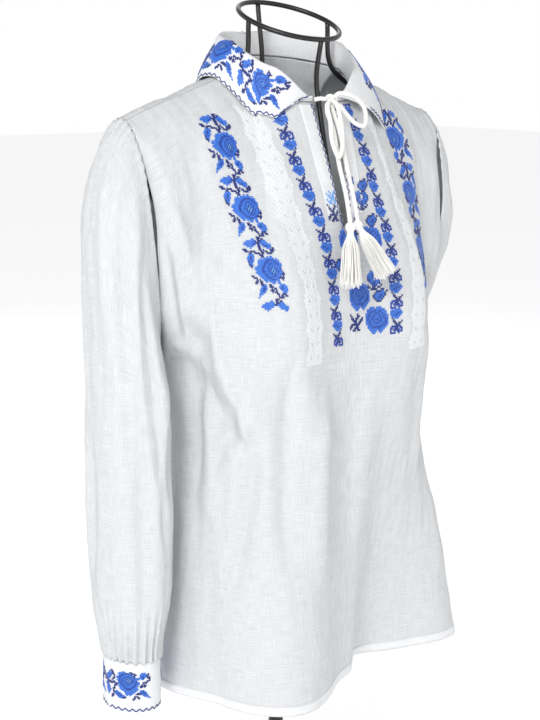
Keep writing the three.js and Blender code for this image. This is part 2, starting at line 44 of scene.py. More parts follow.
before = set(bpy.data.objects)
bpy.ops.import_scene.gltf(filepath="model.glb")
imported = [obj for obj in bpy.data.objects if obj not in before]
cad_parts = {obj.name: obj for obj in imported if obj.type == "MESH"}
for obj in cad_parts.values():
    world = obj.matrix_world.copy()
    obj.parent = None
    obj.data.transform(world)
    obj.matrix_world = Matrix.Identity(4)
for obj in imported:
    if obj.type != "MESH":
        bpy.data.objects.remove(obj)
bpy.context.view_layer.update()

# ---- Sizes of the blouse, in millimetres, the same as the solids' ----
STAND_RISE = 70
CLOTH = 0.7  # thickness of the shown cloth
HEM_Z, SHOULDER_Z, CHEST_Z = 130, 705, 473
NECK_Z, SHOULDER_HALF, SHOULDER_DROP, SHOULDER_SEAM_Y = 749, 198, 44, -10
NECK_HALF, NECK_FRONT_Y, NECK_BACK_Y, NECK_FRONT_DROP, NECK_BACK_RISE = 70, -64, 50, 30, 14
CHEST = {"half": 152, "front": 112, "back": 92}
HEM = {"half": 150, "front": 132, "back": 116}
WAIST = {"in": 13, "down": 0.3, "over": 0.26}
SQUARENESS = {"front": 3.2, "back": 2.4}
BUST = {"x": 86, "z": 535, "across": 44, "above": 62, "below": 150, "out": 20}
NECK_SHARE, CHEST_SHARE = 0.36, 0.46
SLIT_LENGTH, SLIT_HALF = 126, 14
SLIT_BOTTOM_Z = NECK_Z - NECK_FRONT_DROP - SLIT_LENGTH
BICEP_Z, CUFF_TOP_Z, CUFF_HEIGHT, CAP_SHARE = 430, 183, 51, 0.45
HANG = {
    "right": {"x": 200, "y": -12, "cuff_x": 203, "cuff_y": -16},
    "left": {"x": 192, "y": 36, "cuff_x": 186, "cuff_y": 52},
}
BICEP, CUFF = (35, 46), (26, 32)
COLLAR_ROLL, COLLAR_LIFT = 0.36, 3.4
COLLAR_COLUMNS, COLLAR_ROWS, FALL_WIDTH = 200, 44, 52
# Highest level of the front's stitches, and the level that their places are measured down from.
FRONT_TOP, FRONT_LEVEL = 717, 560
HEM_TURN = 10 / 640  # share of a panel's length that is turned up
NECK_RING = {"radius": 52, "y": -12, "z": 798, "tilt": 21}
FOLDS = [  # angle from the centre front, depth at the hem, width in degrees
    (-34, 24, 17), (-5, -16, 13), (31, -64, 24), (67, 54, 14), (96, -16, 12), (122, 12, 12),
    (147, -14, 12), (173, 9, 12), (-160, -13, 12), (-136, 10, 11), (-112, -16, 12), (-86, 6, 10),
    (-64, -6, 9),
]
FALL_EDGE = {  # outer edge of the collar's fall in plan, front corner to nape, both as if at +X
    "right": [(41, -65), (60, -63), (75, -51), (88, -32), (97, -8), (93, 22), (72, 47), (38, 64), (0, 70)],
    "left": [(95, -55), (101, -44), (104, -28), (105, -8), (97, 20), (73, 47), (38, 64), (0, 70)],
}

# Creases: from, to, half width and depth; a trough is negative. Both ends run out softly.
CREASES = [
    ((-196, -22, 690), (-172, -62, 560), 7, -3.0),
    ((-176, -56, 600), (-158, -66, 470), 9, -5.5),
    ((-166, -74, 560), (-148, -92, 430), 10, 4.0),
    ((-156, -50, 490), (-146, -44, 330), 12, -4.5),
    ((-142, -84, 470), (-126, -104, 390), 7, 3.4),
    ((-128, -100, 455), (-150, -62, 360), 9, -3.2),
    ((-182, -60, 640), (-158, -92, 540), 11, 3.2),
    ((-150, -88, 500), (-120, -118, 400), 14, 2.6),
    ((-165, -60, 470), (-132, -96, 380), 9, -2.4),
    ((-150, -52, 455), (-140, -60, 300), 12, 3.0),
    ((-120, -105, 420), (-132, -86, 240), 12, -3.6),
    ((-108, -60, 735), (-150, -66, 640), 14, 2.0),
    ((-70, -72, 690), (-92, -116, 560), 16, 1.6),
    ((-40, -120, 470), (-62, -140, 230), 16, 4.0),
    ((-88, -128, 500), (-104, -132, 260), 14, -3.8),
    ((10, -112, 480), (-6, -118, 240), 15, -3.8),
    ((120, -110, 520), (150, -98, 330), 9, -2.6),
    ((140, -84, 560), (158, -80, 360), 8, 2.4),
    ((104, -122, 520), (128, -112, 300), 11, 2.2),
    ((196, -22, 690), (174, -62, 560), 7, -2.6),
    ((174, -60, 560), (160, -64, 488), 9, -3.4),
    ((110, -55, 735), (150, -66, 640), 14, 2.0),
    ((-196, 6, 690), (-170, 50, 540), 9, -3.0),
    ((196, 6, 690), (170, 50, 540), 9, -3.0),
    ((-150, 52, 480), (-110, 84, 350), 13, 3.0),
    ((150, 52, 480), (112, 82, 350), 13, 2.6),
    ((-60, 78, 700), (-84, 92, 520), 16, -2.4),
    ((58, 78, 700), (80, 92, 520), 16, -2.2),
    ((-20, 86, 560), (-34, 104, 260), 16, 2.6),
    ((34, 84, 520), (52, 108, 240), 15, -2.4),
]
SLEEVE_CREASES = [  # turn round the arm from, to; share of the length from, to; half width, depth
    (0.06, 0.12, 0.00, 0.50, 8, 3.4),
    (0.19, 0.23, 0.30, 0.62, 7, 3.4),
    (0.24, 0.30, 0.40, 0.78, 7, -3.0),
    (0.02, 0.06, 0.05, 0.42, 7, 2.4),
    (0.10, 0.13, 0.10, 0.60, 6, -2.8),
    (0.16, 0.20, 0.02, 0.38, 9, 3.4),
    (0.22, 0.24, 0.15, 0.50, 6, -3.0),
    (0.28, 0.27, 0.30, 0.80, 9, 2.6),
    (0.36, 0.33, 0.38, 0.66, 7, -2.6),
    (0.42, 0.46, 0.40, 0.82, 8, 2.2),
    (0.60, 0.62, 0.30, 0.76, 8, -2.6),
    (0.70, 0.68, 0.12, 0.60, 9, 3.0),
    (0.80, 0.78, 0.06, 0.50, 7, -2.4),
    (0.88, 0.90, 0.20, 0.85, 9, 2.2),
    (0.95, 0.93, 0.45, 0.88, 7, -2.0),
]

# ---- Stitch charts. m mid blue, d royal blue, n navy ----
GARLAND = """
..............nnn.........
..........mm..nn.nn.......
......mmmmmmd.nnnmmm......
....mmmmmmmddnnmmmmmm.....
...mmmmmmddm.nn.mdmmmmm...
.....mmmmm...nn..mddmmm...
.......m.....nn....mmm.nn.
.nnn.........nn.n....nnnn.
..nnn.nnnn....nn.nn..nnn..
.....nn..nnnn.nn..nnnn....
....mmmm....nnn...........
...mmdmm.....nn..m.mm.....
..mmddm.....m.mmmmmmmm.m..
..mmdmm...mmmmmmddddddmmm.
..nmdm...mmmmmdddmmmmddmm.
..nmm....mmmmddmmdddmmddmm
..nnm...mmmmddmmdmmmdmmdmm
...n..mmmmmddmmdmmnmmdmmd.
.....mmmmmddmmmdmnlnmdmmd.
......mmmmddmmdmnlnlnmdmd.
.....mmmmmddmmmdmnlnmdmmmn
......mmmmmddmmmdmnmdmmdnn
.nn....mmmmmddmmmdddmmd.n.
..nnn...mmmmmdddmmmmddnnn.
....n.n..mmmmmmddddmm..n..
...nn.nn..mm.mmmmm.mm.....
..nn..nn.......mm..mm.....
......nnmm..nn......mmmm..
......mmdm..nnn....mmdmmm.
.....mmddm...n.nn..mddmmm.
....mmddm...nnn.n...mmmmm.
....mmmm.....n.nn....mmm..
...mmm..........nn..nnn...
...m.............n.nn.nn..
..m..............nnnn.....
"""
GARLAND_END = """
..............nnn.........
..........mm..nn.nn.......
......mmmmmmm.nnnmmm......
....mmmmmmmmmnnmmmmmm.....
...mmmmmmmmm....mmmmmmm...
.....mmmmm.......mmmmmm...
.......m............mm....
"""
NARROW = """
......n...
n....nn...
.nn.nn....
..nnn.....
.dddnddd..
dd.nnd.dd.
d.ddndd.d.
dddd.d..d.
..d..dddd.
..mmmm.m..
.mmmmmmmm.
mmddmmmmm.
.mmmddmmm.
..mmmmmm..
...mmm.n..
"""
ROSE = """
...mmm.mmm....
.mmmmmdmmmmm..
.mmdddmmddmmm.
mmdmmmddmmdmm.
mddmmdmmdmmdmm
mdmmdmmmmdmdmm
mdmmdmddmdmmdm
mmdmmdmmddmmdm
mmdmmmddmmmddm
.mmdmmmmmmddmm
.mmmddddddmmm.
..mmmmmmdmmm..
...mmmm.mmm...
....mm...m....
"""
LEAF = """
.....nn..
..nnnmm.n
.nmmmmmn.
nmmmddmn.
nmmddmn..
.nmmmn...
..nnn....
"""
SPRIG = """
n....n...
.n...nn..
.nn.nn..n
..nnn..nn
...nn.nn.
.nnnnnn..
nn..nn...
n..nnn...
..nn.nn..
"""
BUD = """
..mm..dd..
.mmmddmmd.
mmmd..dmmd
dmmd..dmmd
ddmm.mmmmd
.dmmdmmdd.
..dddmmd..
n..ddd..n.
nn.nn.nn..
..nnnn....
"""
BLOCK = """
dd.
ddd
ddd
.dd
ddd
dd.
"""
PALE_SPRIG = """
..l...l.
l..l.ll.
.ll.ll.l
..llll..
l..lll.l
.lll.ll.
..ll..l.
"""
# Motifs of the front's centre panel, on a 5 mm grid: chart, millimetres to the wearer's left of the
# centre line, and millimetres down from FRONT_LEVEL.
CENTRE_MOTIFS = [
    (BLOCK, -10, -165), (PALE_SPRIG, -15, -70), (SPRIG, -15, -55), (LEAF, 30, -80), (BLOCK, 15, -85),
    (BLOCK, 15, -70), (BUD, 25, -65), (LEAF, 35, -45), (SPRIG, 10, -40), (ROSE, 30, -25),
    (ROSE, 0, -25), (LEAF, -15, -5), (SPRIG, 5, 10), (BUD, 30, 15), (LEAF, 35, 30),
    (ROSE, 10, 30), (ROSE, 30, 55), (SPRIG, 5, 55),
]
# The front's bands, in the same millimetres: where each starts and ends, and how far it lies from
# the centre line at each of these levels. The two sides are not quite alike.
BAND_LEVELS = (-172, -105, -35, 75)
BANDS = {
    "right": {
        "narrow": (-172, 76, (56, 50, 32, 20)),
        "openwork": (-172, 90, (86, 76, 66, 60)),
        "garland": (-160, 34, (128, 122, 110, 102)),
    },
    "left": {
        "narrow": (-172, 72, (33, 42, 52, 52)),
        "openwork": (-172, 90, (68, 80, 90, 82)),
        "garland": (-160, 30, (116, 128, 128, 102)),
    },
}

CUFF_START = 0.39  # turn round a cuff at which its garland starts

BODY = "root"


def metres(points):
    """Points in millimetres over the drawing level, as metres over the base plate's underside."""
    return (np.asarray(points, float) + np.array([0, 0, STAND_RISE])) * 0.001


# ---- Materials ----


def linear(hex_colour):
    """An sRGB hex colour as the linear values a shader socket takes."""
    values = [int(hex_colour[i : i + 2], 16) / 255 for i in (1, 3, 5)]
    return [v / 12.92 if v <= 0.04045 else ((v + 0.055) / 1.055) ** 2.4 for v in values] + [1.0]


def node(tree, kind, inputs=None, **settings):
    """Adds a node, sets its settings, and sets or links its inputs."""
    made = tree.nodes.new(kind)
    for key, value in settings.items():
        setattr(made, key, value)
    for key, value in (inputs or {}).items():
        if isinstance(value, bpy.types.NodeSocket):
            tree.links.new(value, made.inputs[key])
        else:
            made.inputs[key].default_value = value
    return made


def new_material(name):
    """A material with an empty tree and its output node."""
    made = bpy.data.materials.new(name)
    made.use_nodes = True
    made.node_tree.nodes.clear()
    return made, made.node_tree, made.node_tree.nodes.new("ShaderNodeOutputMaterial")


def thin_cotton(name, colour, glow, slub):
    """Thin slubbed cotton gauze. Light passes through it, and thicker yarns run down and across."""
    made, tree, output = new_material(name)
    place = node(tree, "ShaderNodeTexCoord").outputs["UV"]
    down = node(tree, "ShaderNodeMapping", {"Vector": place, "Scale": (1500, 60, 1)})
    across = node(tree, "ShaderNodeMapping", {"Vector": place, "Scale": (45, 1200, 1)})
    warp = node(tree, "ShaderNodeTexNoise", {"Vector": down.outputs[0], "Scale": 1.0, "Detail": 2.0})
    weft = node(tree, "ShaderNodeTexNoise", {"Vector": across.outputs[0], "Scale": 1.0, "Detail": 2.0})
    both = node(tree, "ShaderNodeMath", {0: warp.outputs[0], 1: weft.outputs[0]}, operation="ADD")
    tint = node(
        tree,
        "ShaderNodeMapRange",
        {"Value": both.outputs[0], "From Min": 0.7, "From Max": 1.3, "To Min": 1 - slub, "To Max": 1.0},
    )
    shade = node(tree, "ShaderNodeVectorMath", {0: colour[:3], "Scale": tint.outputs[0]}, operation="SCALE")
    bump = node(
        tree, "ShaderNodeBump", {"Height": both.outputs[0], "Strength": 0.5, "Distance": 0.0008}
    )
    front = node(
        tree,
        "ShaderNodeBsdfPrincipled",
        {"Base Color": shade.outputs[0], "Roughness": 0.95, "Normal": bump.outputs[0]},
    )
    front.inputs["Specular IOR Level"].default_value = 0.15
    through = node(tree, "ShaderNodeBsdfTranslucent", {"Color": shade.outputs[0]})
    mixed = node(tree, "ShaderNodeMixShader", {0: glow, 1: front.outputs[0], 2: through.outputs[0]})
    tree.links.new(mixed.outputs[0], output.inputs["Surface"])
    return made


def plain(name, colour, roughness, metallic=0.0, sheen=0.0):
    """A material with one colour all over."""
    made, tree, output = new_material(name)
    shader = node(
        tree,
        "ShaderNodeBsdfPrincipled",
        {"Base Color": colour, "Roughness": roughness, "Metallic": metallic, "Sheen Weight": sheen},
    )
    tree.links.new(shader.outputs[0], output.inputs["Surface"])
    return made


def make_materials():
    """All materials of the blouse and its form, by short name."""
    return {
        # White cotton gauze of the body and sleeves, a little see-through.
        "gauze": thin_cotton("thin_cotton_gauze", linear("#e7e9eb"), 0.2, 0.2),
        # The same cloth folded double, at the hem, collar and cuffs: whiter and less see-through.
        "double": thin_cotton("doubled_cotton_gauze", linear("#eeeff1"), 0.10, 0.10),
        # Stranded embroidery cotton in its blues, and in white.
        "m": plain("embroidery_cotton_mid_blue", linear("#2f6dcb"), 0.6, sheen=0.2),
        "d": plain("embroidery_cotton_royal_blue", linear("#153d9c"), 0.6, sheen=0.2),
        "n": plain("embroidery_cotton_navy", linear("#142a72"), 0.65, sheen=0.2),
        "l": plain("embroidery_cotton_light_blue", linear("#6aa6e6"), 0.6, sheen=0.2),
        "w": plain("embroidery_cotton_white", linear("#f4f5f6"), 0.6, sheen=0.1),
        # Braided white cotton cord of the tie, and the tassels' yarn.
        "cord": plain("braided_cotton_cord", linear("#efeeea"), 0.8, sheen=0.1),
        # Black painted steel wire of the form.
        "wire": plain("black_painted_steel", linear("#151517"), 0.38),
    }


# ---- Shapes of the panels, in millimetres. They take and give arrays ----


def bell(x):
    """A smooth bump of height 1 and half width about 1."""
    return np.exp(-np.square(x))


def smooth(t):
    """0 to 1 with level ends."""
    t = np.clip(t, 0, 1)
    return t * t * (3 - 2 * t)


def lerp(a, b, t):
    """Between a and b."""
    return a + (b - a) * t


def stack(x, y, z):
    """Three arrays or numbers as an array of points."""
    return np.stack(np.broadcast_arrays(x, y, z), -1).astype(float)


def unit(vectors):
    """Vectors scaled to length 1."""
    return vectors / np.maximum(np.linalg.norm(vectors, axis=-1, keepdims=True), 1e-9)


def bezier(p0, p1, p2, p3, t):
    """Points of cubic curves, one per row."""
    t = np.asarray(t, float)[..., None]
    s = 1 - t
    return p0 * s**3 + 3 * p1 * s * s * t + 3 * p2 * s * t * t + p3 * t**3


def fold_out(angle, down):
    """How far the folds push the skirt out at an angle in degrees from the centre front."""
    out = np.zeros_like(angle)
    for at, depth, wide in FOLDS:
        away = (angle - at + 180) % 360 - 180
        out += depth * bell(away / wide)
    return out * np.power(down, 1.25)


def bust_out(x, z):
    """How far the bust pushes the cloth forwards."""
    high = np.where(z > BUST["z"], BUST["above"], BUST["below"])
    return BUST["out"] * bell((np.abs(x) - BUST["x"]) / BUST["across"]) * bell((z - BUST["z"]) / high)


def skirt_points(side, back, share, down):
    """The part of a panel under the chest line."""
    nip = WAIST["in"] * (bell((down - WAIST["down"]) / WAIST["over"]) - bell(WAIST["down"] / WAIST["over"]))
    half = lerp(CHEST["half"], HEM["half"], down) - nip
    if back:
        deep = lerp(CHEST["back"], HEM["back"], down) - nip
    else:
        deep = -lerp(CHEST["front"], HEM["front"], down)
    turn = np.radians(90 * share)
    power = 2 / SQUARENESS["back" if back else "front"]
    across = np.power(np.sin(turn), power)
    forward = np.power(np.maximum(np.cos(turn), 0), power)
    points = stack(side * half * across, deep * forward, lerp(CHEST_Z, HEM_Z, down))
    outward = unit(stack(side * across / half, forward / deep, 0))
    angle = np.degrees(np.arctan2(points[..., 0], -points[..., 1]))
    points = points + outward * fold_out(angle, down)[..., None]
    if not back:
        points[..., 1] -= bust_out(points[..., 0], points[..., 2]) * (1 - share * share)
    return points


def upper_edge(back, share):
    """The upper edge of a half panel: the neckline, then the shoulder seam out to the tip."""
    side_y = SHOULDER_SEAM_Y - 2
    out = np.clip((share - NECK_SHARE) / (1 - NECK_SHARE), 0, 1)
    shoulder = stack(lerp(NECK_HALF, SHOULDER_HALF, out), side_y + 2 * out, NECK_Z - SHOULDER_DROP * out)
    along = np.clip(share / NECK_SHARE, 0, 1)
    turn = np.radians(90 * along)
    if back:
        neck = stack(
            NECK_HALF * np.sin(turn),
            lerp(side_y, NECK_BACK_Y, np.cos(turn)),
            NECK_Z + NECK_BACK_RISE * (1 - along**2),
        )
    else:
        neck = stack(
            SLIT_HALF + (NECK_HALF - SLIT_HALF) * np.sin(turn),
            lerp(side_y, NECK_FRONT_Y, np.cos(turn)),
            NECK_Z - NECK_FRONT_DROP * (1 - along**2),
        )
    return np.where((share >= NECK_SHARE)[..., None], shoulder, neck)


def upper_points(side, back, share, along):
    """The part of a panel over the chest line, on the curve that each column makes."""
    top = upper_edge(back, share)
    bottom = skirt_points(1, back, share, np.zeros_like(share))
    bottom[..., 1] = np.where(share >= 1, 0, bottom[..., 1])
    over = smooth((share - NECK_SHARE * (0.5 if back else 0.15)) / (NECK_SHARE * 0.8))
    if back:
        leave = stack(0, lerp(0.42, 0.94, over), lerp(-0.9, 0.3, over))
    else:
        leave = stack(0, lerp(-0.42, -0.82, over), lerp(-0.9, -0.56, over))
    arm = smooth((share - 0.72) / 0.28)
    reach = lerp(46 if back else 66, 58 if back else 62, arm)
    here = stack(0, 0, np.full_like(share, 165 if back else 92))
    arrive = here + (np.array([42, 60 if back else -60, 28]) - here) * arm[..., None]
    start = top + unit(leave) * reach[..., None]
    if not back:
        bottom[..., 1] += bust_out(bottom[..., 0], bottom[..., 2]) * (1 - share * share)
    points = bezier(top, start, bottom + arrive, bottom, along)
    if not back:
        out = bust_out(points[..., 0], points[..., 2]) * (1 - share * share)
        points[..., 1] -= out * smooth(along / 0.3)
    points[..., 0] *= side
    return points


def slit_half(z):
    """Half the width of the front opening at a height."""
    return SLIT_HALF * np.power(np.clip((z - SLIT_BOTTOM_Z) / SLIT_LENGTH, 0, 1), 0.55)


def raw_points(side, back, share, down):
    """A half panel before its slit is opened."""
    upper = upper_points(side, back, share, np.clip(down / CHEST_SHARE, 0, 1))
    lower = skirt_points(side, back, share, np.clip((down - CHEST_SHARE) / (1 - CHEST_SHARE), 0, 1))
    return np.where((down <= CHEST_SHARE)[..., None], upper, lower)


def panel_points(side, back, share, down):
    """A half panel: share 0 is its centre and 1 its side seam, down 0 its top and 1 its hem."""
    points = raw_points(side, back, share, down)
    if not back:
        edge = raw_points(1, back, np.zeros_like(share), down)
        near = np.clip(1 - share * 12, 0, 1)
        points[..., 0] += side * (slit_half(edge[..., 2]) - edge[..., 0]) * near
    return points


def hang_on(side):
    """How the sleeve on this side hangs."""
    return HANG["right" if side < 0 else "left"]


def sleeve_ring(hang, turn, down):
    """The hanging part of a sleeve, for the wearer's left."""
    angle = turn * 2 * np.pi
    taper = smooth((down - 0.55) / 0.45)
    puff = 4 * bell((down - 0.78) / 0.16)
    x, y = lerp(BICEP[0], CUFF[0], taper) + puff, lerp(BICEP[1], CUFF[1], taper) + puff
    fold = 6 * bell((turn - 0.19) / 0.045) + 4 * bell((turn - 0.68) / 0.06)
    shrink = 1 - (fold / BICEP[1]) * (1 - taper)
    return stack(
        lerp(hang["x"], hang["cuff_x"], down) + x * shrink * np.cos(angle),
        lerp(hang["y"], hang["cuff_y"], down) - y * shrink * np.sin(angle),
        lerp(BICEP_Z, CUFF_TOP_Z - 0.4, down),
    )


def sleeve_points(hang, turn, along):
    """A sleeve, for the wearer's left: turn runs round from the shoulder by the front."""
    ones = np.ones_like(turn)
    top = np.where(
        (turn > 0.5)[..., None],
        upper_points(1, True, ones, np.clip(2 - 2 * turn, 0, 1)),
        upper_points(1, False, ones, np.clip(2 * turn, 0, 1)),
    )
    bottom = sleeve_ring(hang, turn, np.zeros_like(turn))
    under = np.power(0.5 - 0.5 * np.cos(turn * 2 * np.pi), 1.4)
    front = np.sin(turn * 2 * np.pi)
    outer = 0.8 if hang is HANG["right"] else 0.5
    leave = unit(stack(lerp(outer, 0.5, under), -0.1 * front, lerp(-0.6, -0.86, under)))
    fall = np.maximum(top[..., 2] - bottom[..., 2], 1)
    start = top + leave * (0.22 * fall)[..., None]
    end = bottom + stack(0, 0, 0.42 * fall)
    cap = bezier(top, start, end, bottom, np.clip(along / CAP_SHARE, 0, 1))
    hanging = sleeve_ring(hang, turn, np.clip((along - CAP_SHARE) / (1 - CAP_SHARE), 0, 1))
    return np.where((along >= CAP_SHARE)[..., None], hanging, cap)


# ---- Meshes from grids ----


def net(columns, rows, wrap_columns=False, wrap_rows=False):
    """Faces of a grid as indices into its points row by row, and each corner's share across and down."""
    grid = bmesh.new()
    bmesh.ops.create_grid(grid, x_segments=columns, y_segments=rows, size=0.5)
    grid.verts.index_update()
    shares = np.array([v.co[:2] for v in grid.verts]) + 0.5
    faces = np.array([[v.index for v in f.verts] for f in grid.faces])
    grid.free()
    column = np.rint(shares[:, 0] * columns).astype(int)
    row = np.rint(shares[:, 1] * rows).astype(int)
    across = columns if wrap_columns else columns + 1
    place = (row % rows if wrap_rows else row) * across + (column % columns if wrap_columns else column)
    return place[faces], shares[faces]


def grid_shares(columns, rows, wrapped=False):
    """Shares across and down of a grid's points, row by row."""
    across = np.arange(columns if wrapped else columns + 1) / columns
    down, over = np.meshgrid(np.arange(rows + 1) / rows, across, indexing="ij")
    return over.ravel(), down.ravel()


def normals_of(points, faces):
    """The outward direction at each point, from the faces round it."""
    flat = np.cross(points[faces[:, 2]] - points[faces[:, 0]], points[faces[:, 3]] - points[faces[:, 1]])
    out = np.zeros_like(points)
    for corner in range(4):
        np.add.at(out, faces[:, corner], flat)
    return unit(out)


def facing(points, faces, centre):
    """The faces, turned so that they look away from a centre line or point."""
    away = (points - np.array(centre, float)) * [1, 1, 0.3]
    return faces if np.sum(normals_of(points, faces) * away) > 0 else faces[:, ::-1]


def outwards_of(points, faces, uv, centre):
    """The faces turned to look away from a centre, and the uv of their corners."""
    turned = facing(points, faces, centre)
    return turned, uv if np.array_equal(turned, faces) else uv[:, ::-1]


def mesh_object(name, points, faces, materials, uv=None, weld=0.0, kinds=None):
    """A smooth object of these faces. Points are in millimetres, uv in metres for every corner."""
    mesh = bpy.data.meshes.new(name)
    mesh.from_pydata(metres(points).tolist(), [], faces.tolist())
    for material in materials:
        mesh.materials.append(material)
    if uv is not None:
        mesh.uv_layers.new(name="cloth").data.foreach_set("uv", uv.reshape(-1).astype(np.float32))
    if kinds is not None:
        mesh.polygons.foreach_set("material_index", kinds.astype(np.int32))
    if weld:
        work = bmesh.new()
        work.from_mesh(mesh)
        bmesh.ops.remove_doubles(work, verts=work.verts, dist=weld)
        work.to_mesh(mesh)
        work.free()
    mesh.shade_smooth()
    made = bpy.data.objects.new(name, mesh)
    bpy.context.collection.objects.link(made)
    return made


def placed(name, mesh, material):
    """A smooth object of this mesh, in one material."""
    mesh.materials.append(material)
    mesh.shade_smooth()
    made = bpy.data.objects.new(name, mesh)
    bpy.context.collection.objects.link(made)
    return made


def mesh_points(mesh):
    """A mesh's points in millimetres over the drawing level."""
    points = np.empty(len(mesh.vertices) * 3)
    mesh.vertices.foreach_get("co", points)
    return points.reshape(-1, 3) * 1000 - [0, 0, STAND_RISE]


def wall(piece, thickness):
    """Gives a cloth piece its thickness, inwards."""
    solid = piece.modifiers.new("thickness", "SOLIDIFY")
    solid.thickness = thickness * 0.001
    solid.offset = -1.0
    return piece


def tree_of(name):
    """A search tree over a built object's own mesh, in millimetres over the drawing level."""
    mesh = bpy.data.objects[name].data
    return BVHTree.FromPolygons(mesh_points(mesh).tolist(), [tuple(p.vertices) for p in mesh.polygons])


def frames(paths, closed):
    """Two directions square to each path at each of its steps, turned as little as possible."""
    if closed:
        along = np.roll(paths, -1, 1) - np.roll(paths, 1, 1)
    else:
        along = np.gradient(paths, axis=1)
    along = unit(along)
    start = np.where(np.abs(along[:, :1, 2:]) > 0.8, [[[1.0, 0, 0]]], [[[0, 0, 1.0]]])
    side = [unit(np.cross(along[:, 0], start[:, 0]))]
    for k in range(1, paths.shape[1]):
        here = along[:, k]
        side.append(unit(side[-1] - np.sum(side[-1] * here, -1, keepdims=True) * here))
    side = np.stack(side, 1)
    return side, np.cross(along, side)


def tubes(name, paths, radius, material, sides=8, closed=False, lobes=0, pitch=7.5):
    """Rods along paths, an array of rods by steps by 3. Lobes lay that many plies round each."""
    paths = np.asarray(paths, float)
    rods, steps = paths.shape[:2]
    one, two = frames(paths, closed)
    radius = np.broadcast_to(np.asarray(radius, float), (rods, steps))
    lengths = np.linalg.norm(np.diff(paths, axis=1), axis=2)
    gone = np.concatenate([np.zeros((rods, 1)), np.cumsum(lengths, 1)], 1)
    turn = np.arange(sides) / sides * 2 * np.pi
    reach = radius[..., None] * np.ones(sides)
    if lobes:
        ply = lobes * (turn - gone[..., None] / pitch * 2 * np.pi)
        reach = reach * (0.76 + 0.32 * np.abs(np.cos(ply / 2)))
    ring = np.cos(turn)[:, None] * one[:, :, None] + np.sin(turn)[:, None] * two[:, :, None]
    points = paths[:, :, None] + reach[..., None] * ring
    faces, _ = net(sides, steps if closed else steps - 1, wrap_columns=True, wrap_rows=closed)
    faces = (faces[None] + (np.arange(rods) * steps * sides)[:, None, None]).reshape(-1, 4)
    made = mesh_object(name, points.reshape(-1, 3), faces, [material])
    work = bmesh.new()
    work.from_mesh(made.data)
    if not closed:
        rims = [e for e in work.edges if e.is_boundary]
        bmesh.ops.holes_fill(work, edges=rims, sides=0)
    bmesh.ops.recalc_face_normals(work, faces=work.faces)
    work.to_mesh(made.data)
    work.free()
    made.data.shade_smooth()
    return made


def curve(points, steps, closed=False):
    """A smooth line through points, at even steps."""
    p = np.array(points, float)
    if closed:
        p = np.concatenate([p[-1:], p, p[:2]])
    else:
        p = np.concatenate([2 * p[:1] - p[1:2], p, 2 * p[-1:] - p[-2:-1]])
    t = (np.arange(24) / 24)[:, None]
    out = []
    for a, b, c, d in zip(p, p[1:], p[2:], p[3:]):
        before, here, after = (math.sqrt(np.linalg.norm(y - x)) for x, y in ((a, b), (b, c), (c, d)))
        leave = ((b - a) / before - (c - a) / (before + here) + (c - b) / here) * here
        arrive = ((c - b) / here - (d - b) / (here + after) + (d - c) / after) * here
        turn = 2 * b - 2 * c + leave + arrive
        out.append(turn * t**3 + (3 * c - 3 * b - 2 * leave - arrive) * t**2 + leave * t + b)
    out.append(p[-2:-1])
    line = np.concatenate(out)
    gone = travelled(line)
    at = np.linspace(0, gone[-1], steps + 1 if closed else steps)[: steps]
    return np.stack([np.interp(at, gone, line[:, k]) for k in range(3)], -1)


def run_length(line):
    """Length of a line of points."""
    return float(np.sum(np.linalg.norm(np.diff(line, axis=0), axis=1)))


def travelled(line):
    """The distance gone along a line of points at each of them."""
    return np.concatenate([[0], np.cumsum(np.linalg.norm(np.diff(line, axis=0), axis=1))])


# ---- Relief of the cloth ----


def crease_depth(points, normals, creases):
    """How far the listed creases lift or sink the cloth. Both ends of each run out softly."""
    out = np.zeros(len(points))
    for start, end, width, depth in creases:
        a, b = np.array(start, float), np.array(end, float)
        along = np.clip(((points - a) @ (b - a)) / ((b - a) @ (b - a)), 0, 1)
        away = points - (a + along[:, None] * (b - a))
        off = np.sum(away * normals, 1)
        away = np.linalg.norm(away - off[:, None] * normals, axis=1)
        ends = smooth(along / 0.3) * smooth((1 - along) / 0.3)
        out += depth * bell(away / width) * ends * (np.abs(off) < 45)
    return out


def slack(points, seed, longest):
    """The gentle unevenness of hanging cloth, about 1 high. Its ridges mostly run downwards."""
    chance = np.random.default_rng(seed)
    out = np.zeros(len(points))
    for _ in range(14):
        across = unit(chance.normal(size=3) * [1, 1, 0.3])
        size = chance.uniform(0.3, 1.0) * longest
        out += np.sin(points @ across * 2 * np.pi / size + chance.uniform(0, 2 * np.pi))
    return out / math.sqrt(14)


def hang_of(points, settings):
    """How unevenly the cloth hangs: broad waves, narrow ones, and the crinkle of washed gauze."""
    broad = slack(points, 4, 110) * settings.slack
    narrow = slack(points * [1, 1, 0.35], 21, 34) * settings.slack * 0.45
    return broad + narrow + slack(points * [1, 1, 0.5], 9, 13) * 0.16


def relieved(points, faces, settings, creases=()):
    """Cloth with its creases, its slack, and fine crinkles."""
    normals = normals_of(points, faces)
    depth = crease_depth(points, normals, creases) * settings.crease
    return points + normals * (depth + hang_of(points, settings))[:, None]


# ---- Panels ----


def cloth_piece(name, points, faces, uv, material, thickness, lengths, weld=0.0):
    """A cloth wall with real-size uv."""
    made = mesh_object(name, points, faces, [material], uv * np.array(lengths) * 0.001, weld)
    return wall(made, thickness)


def finish_piece(piece, slot, *solids):
    """Makes a piece ride on the body, in place of these solids."""
    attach(piece, BODY)
    if solids:
        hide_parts(*solids)
    return piece


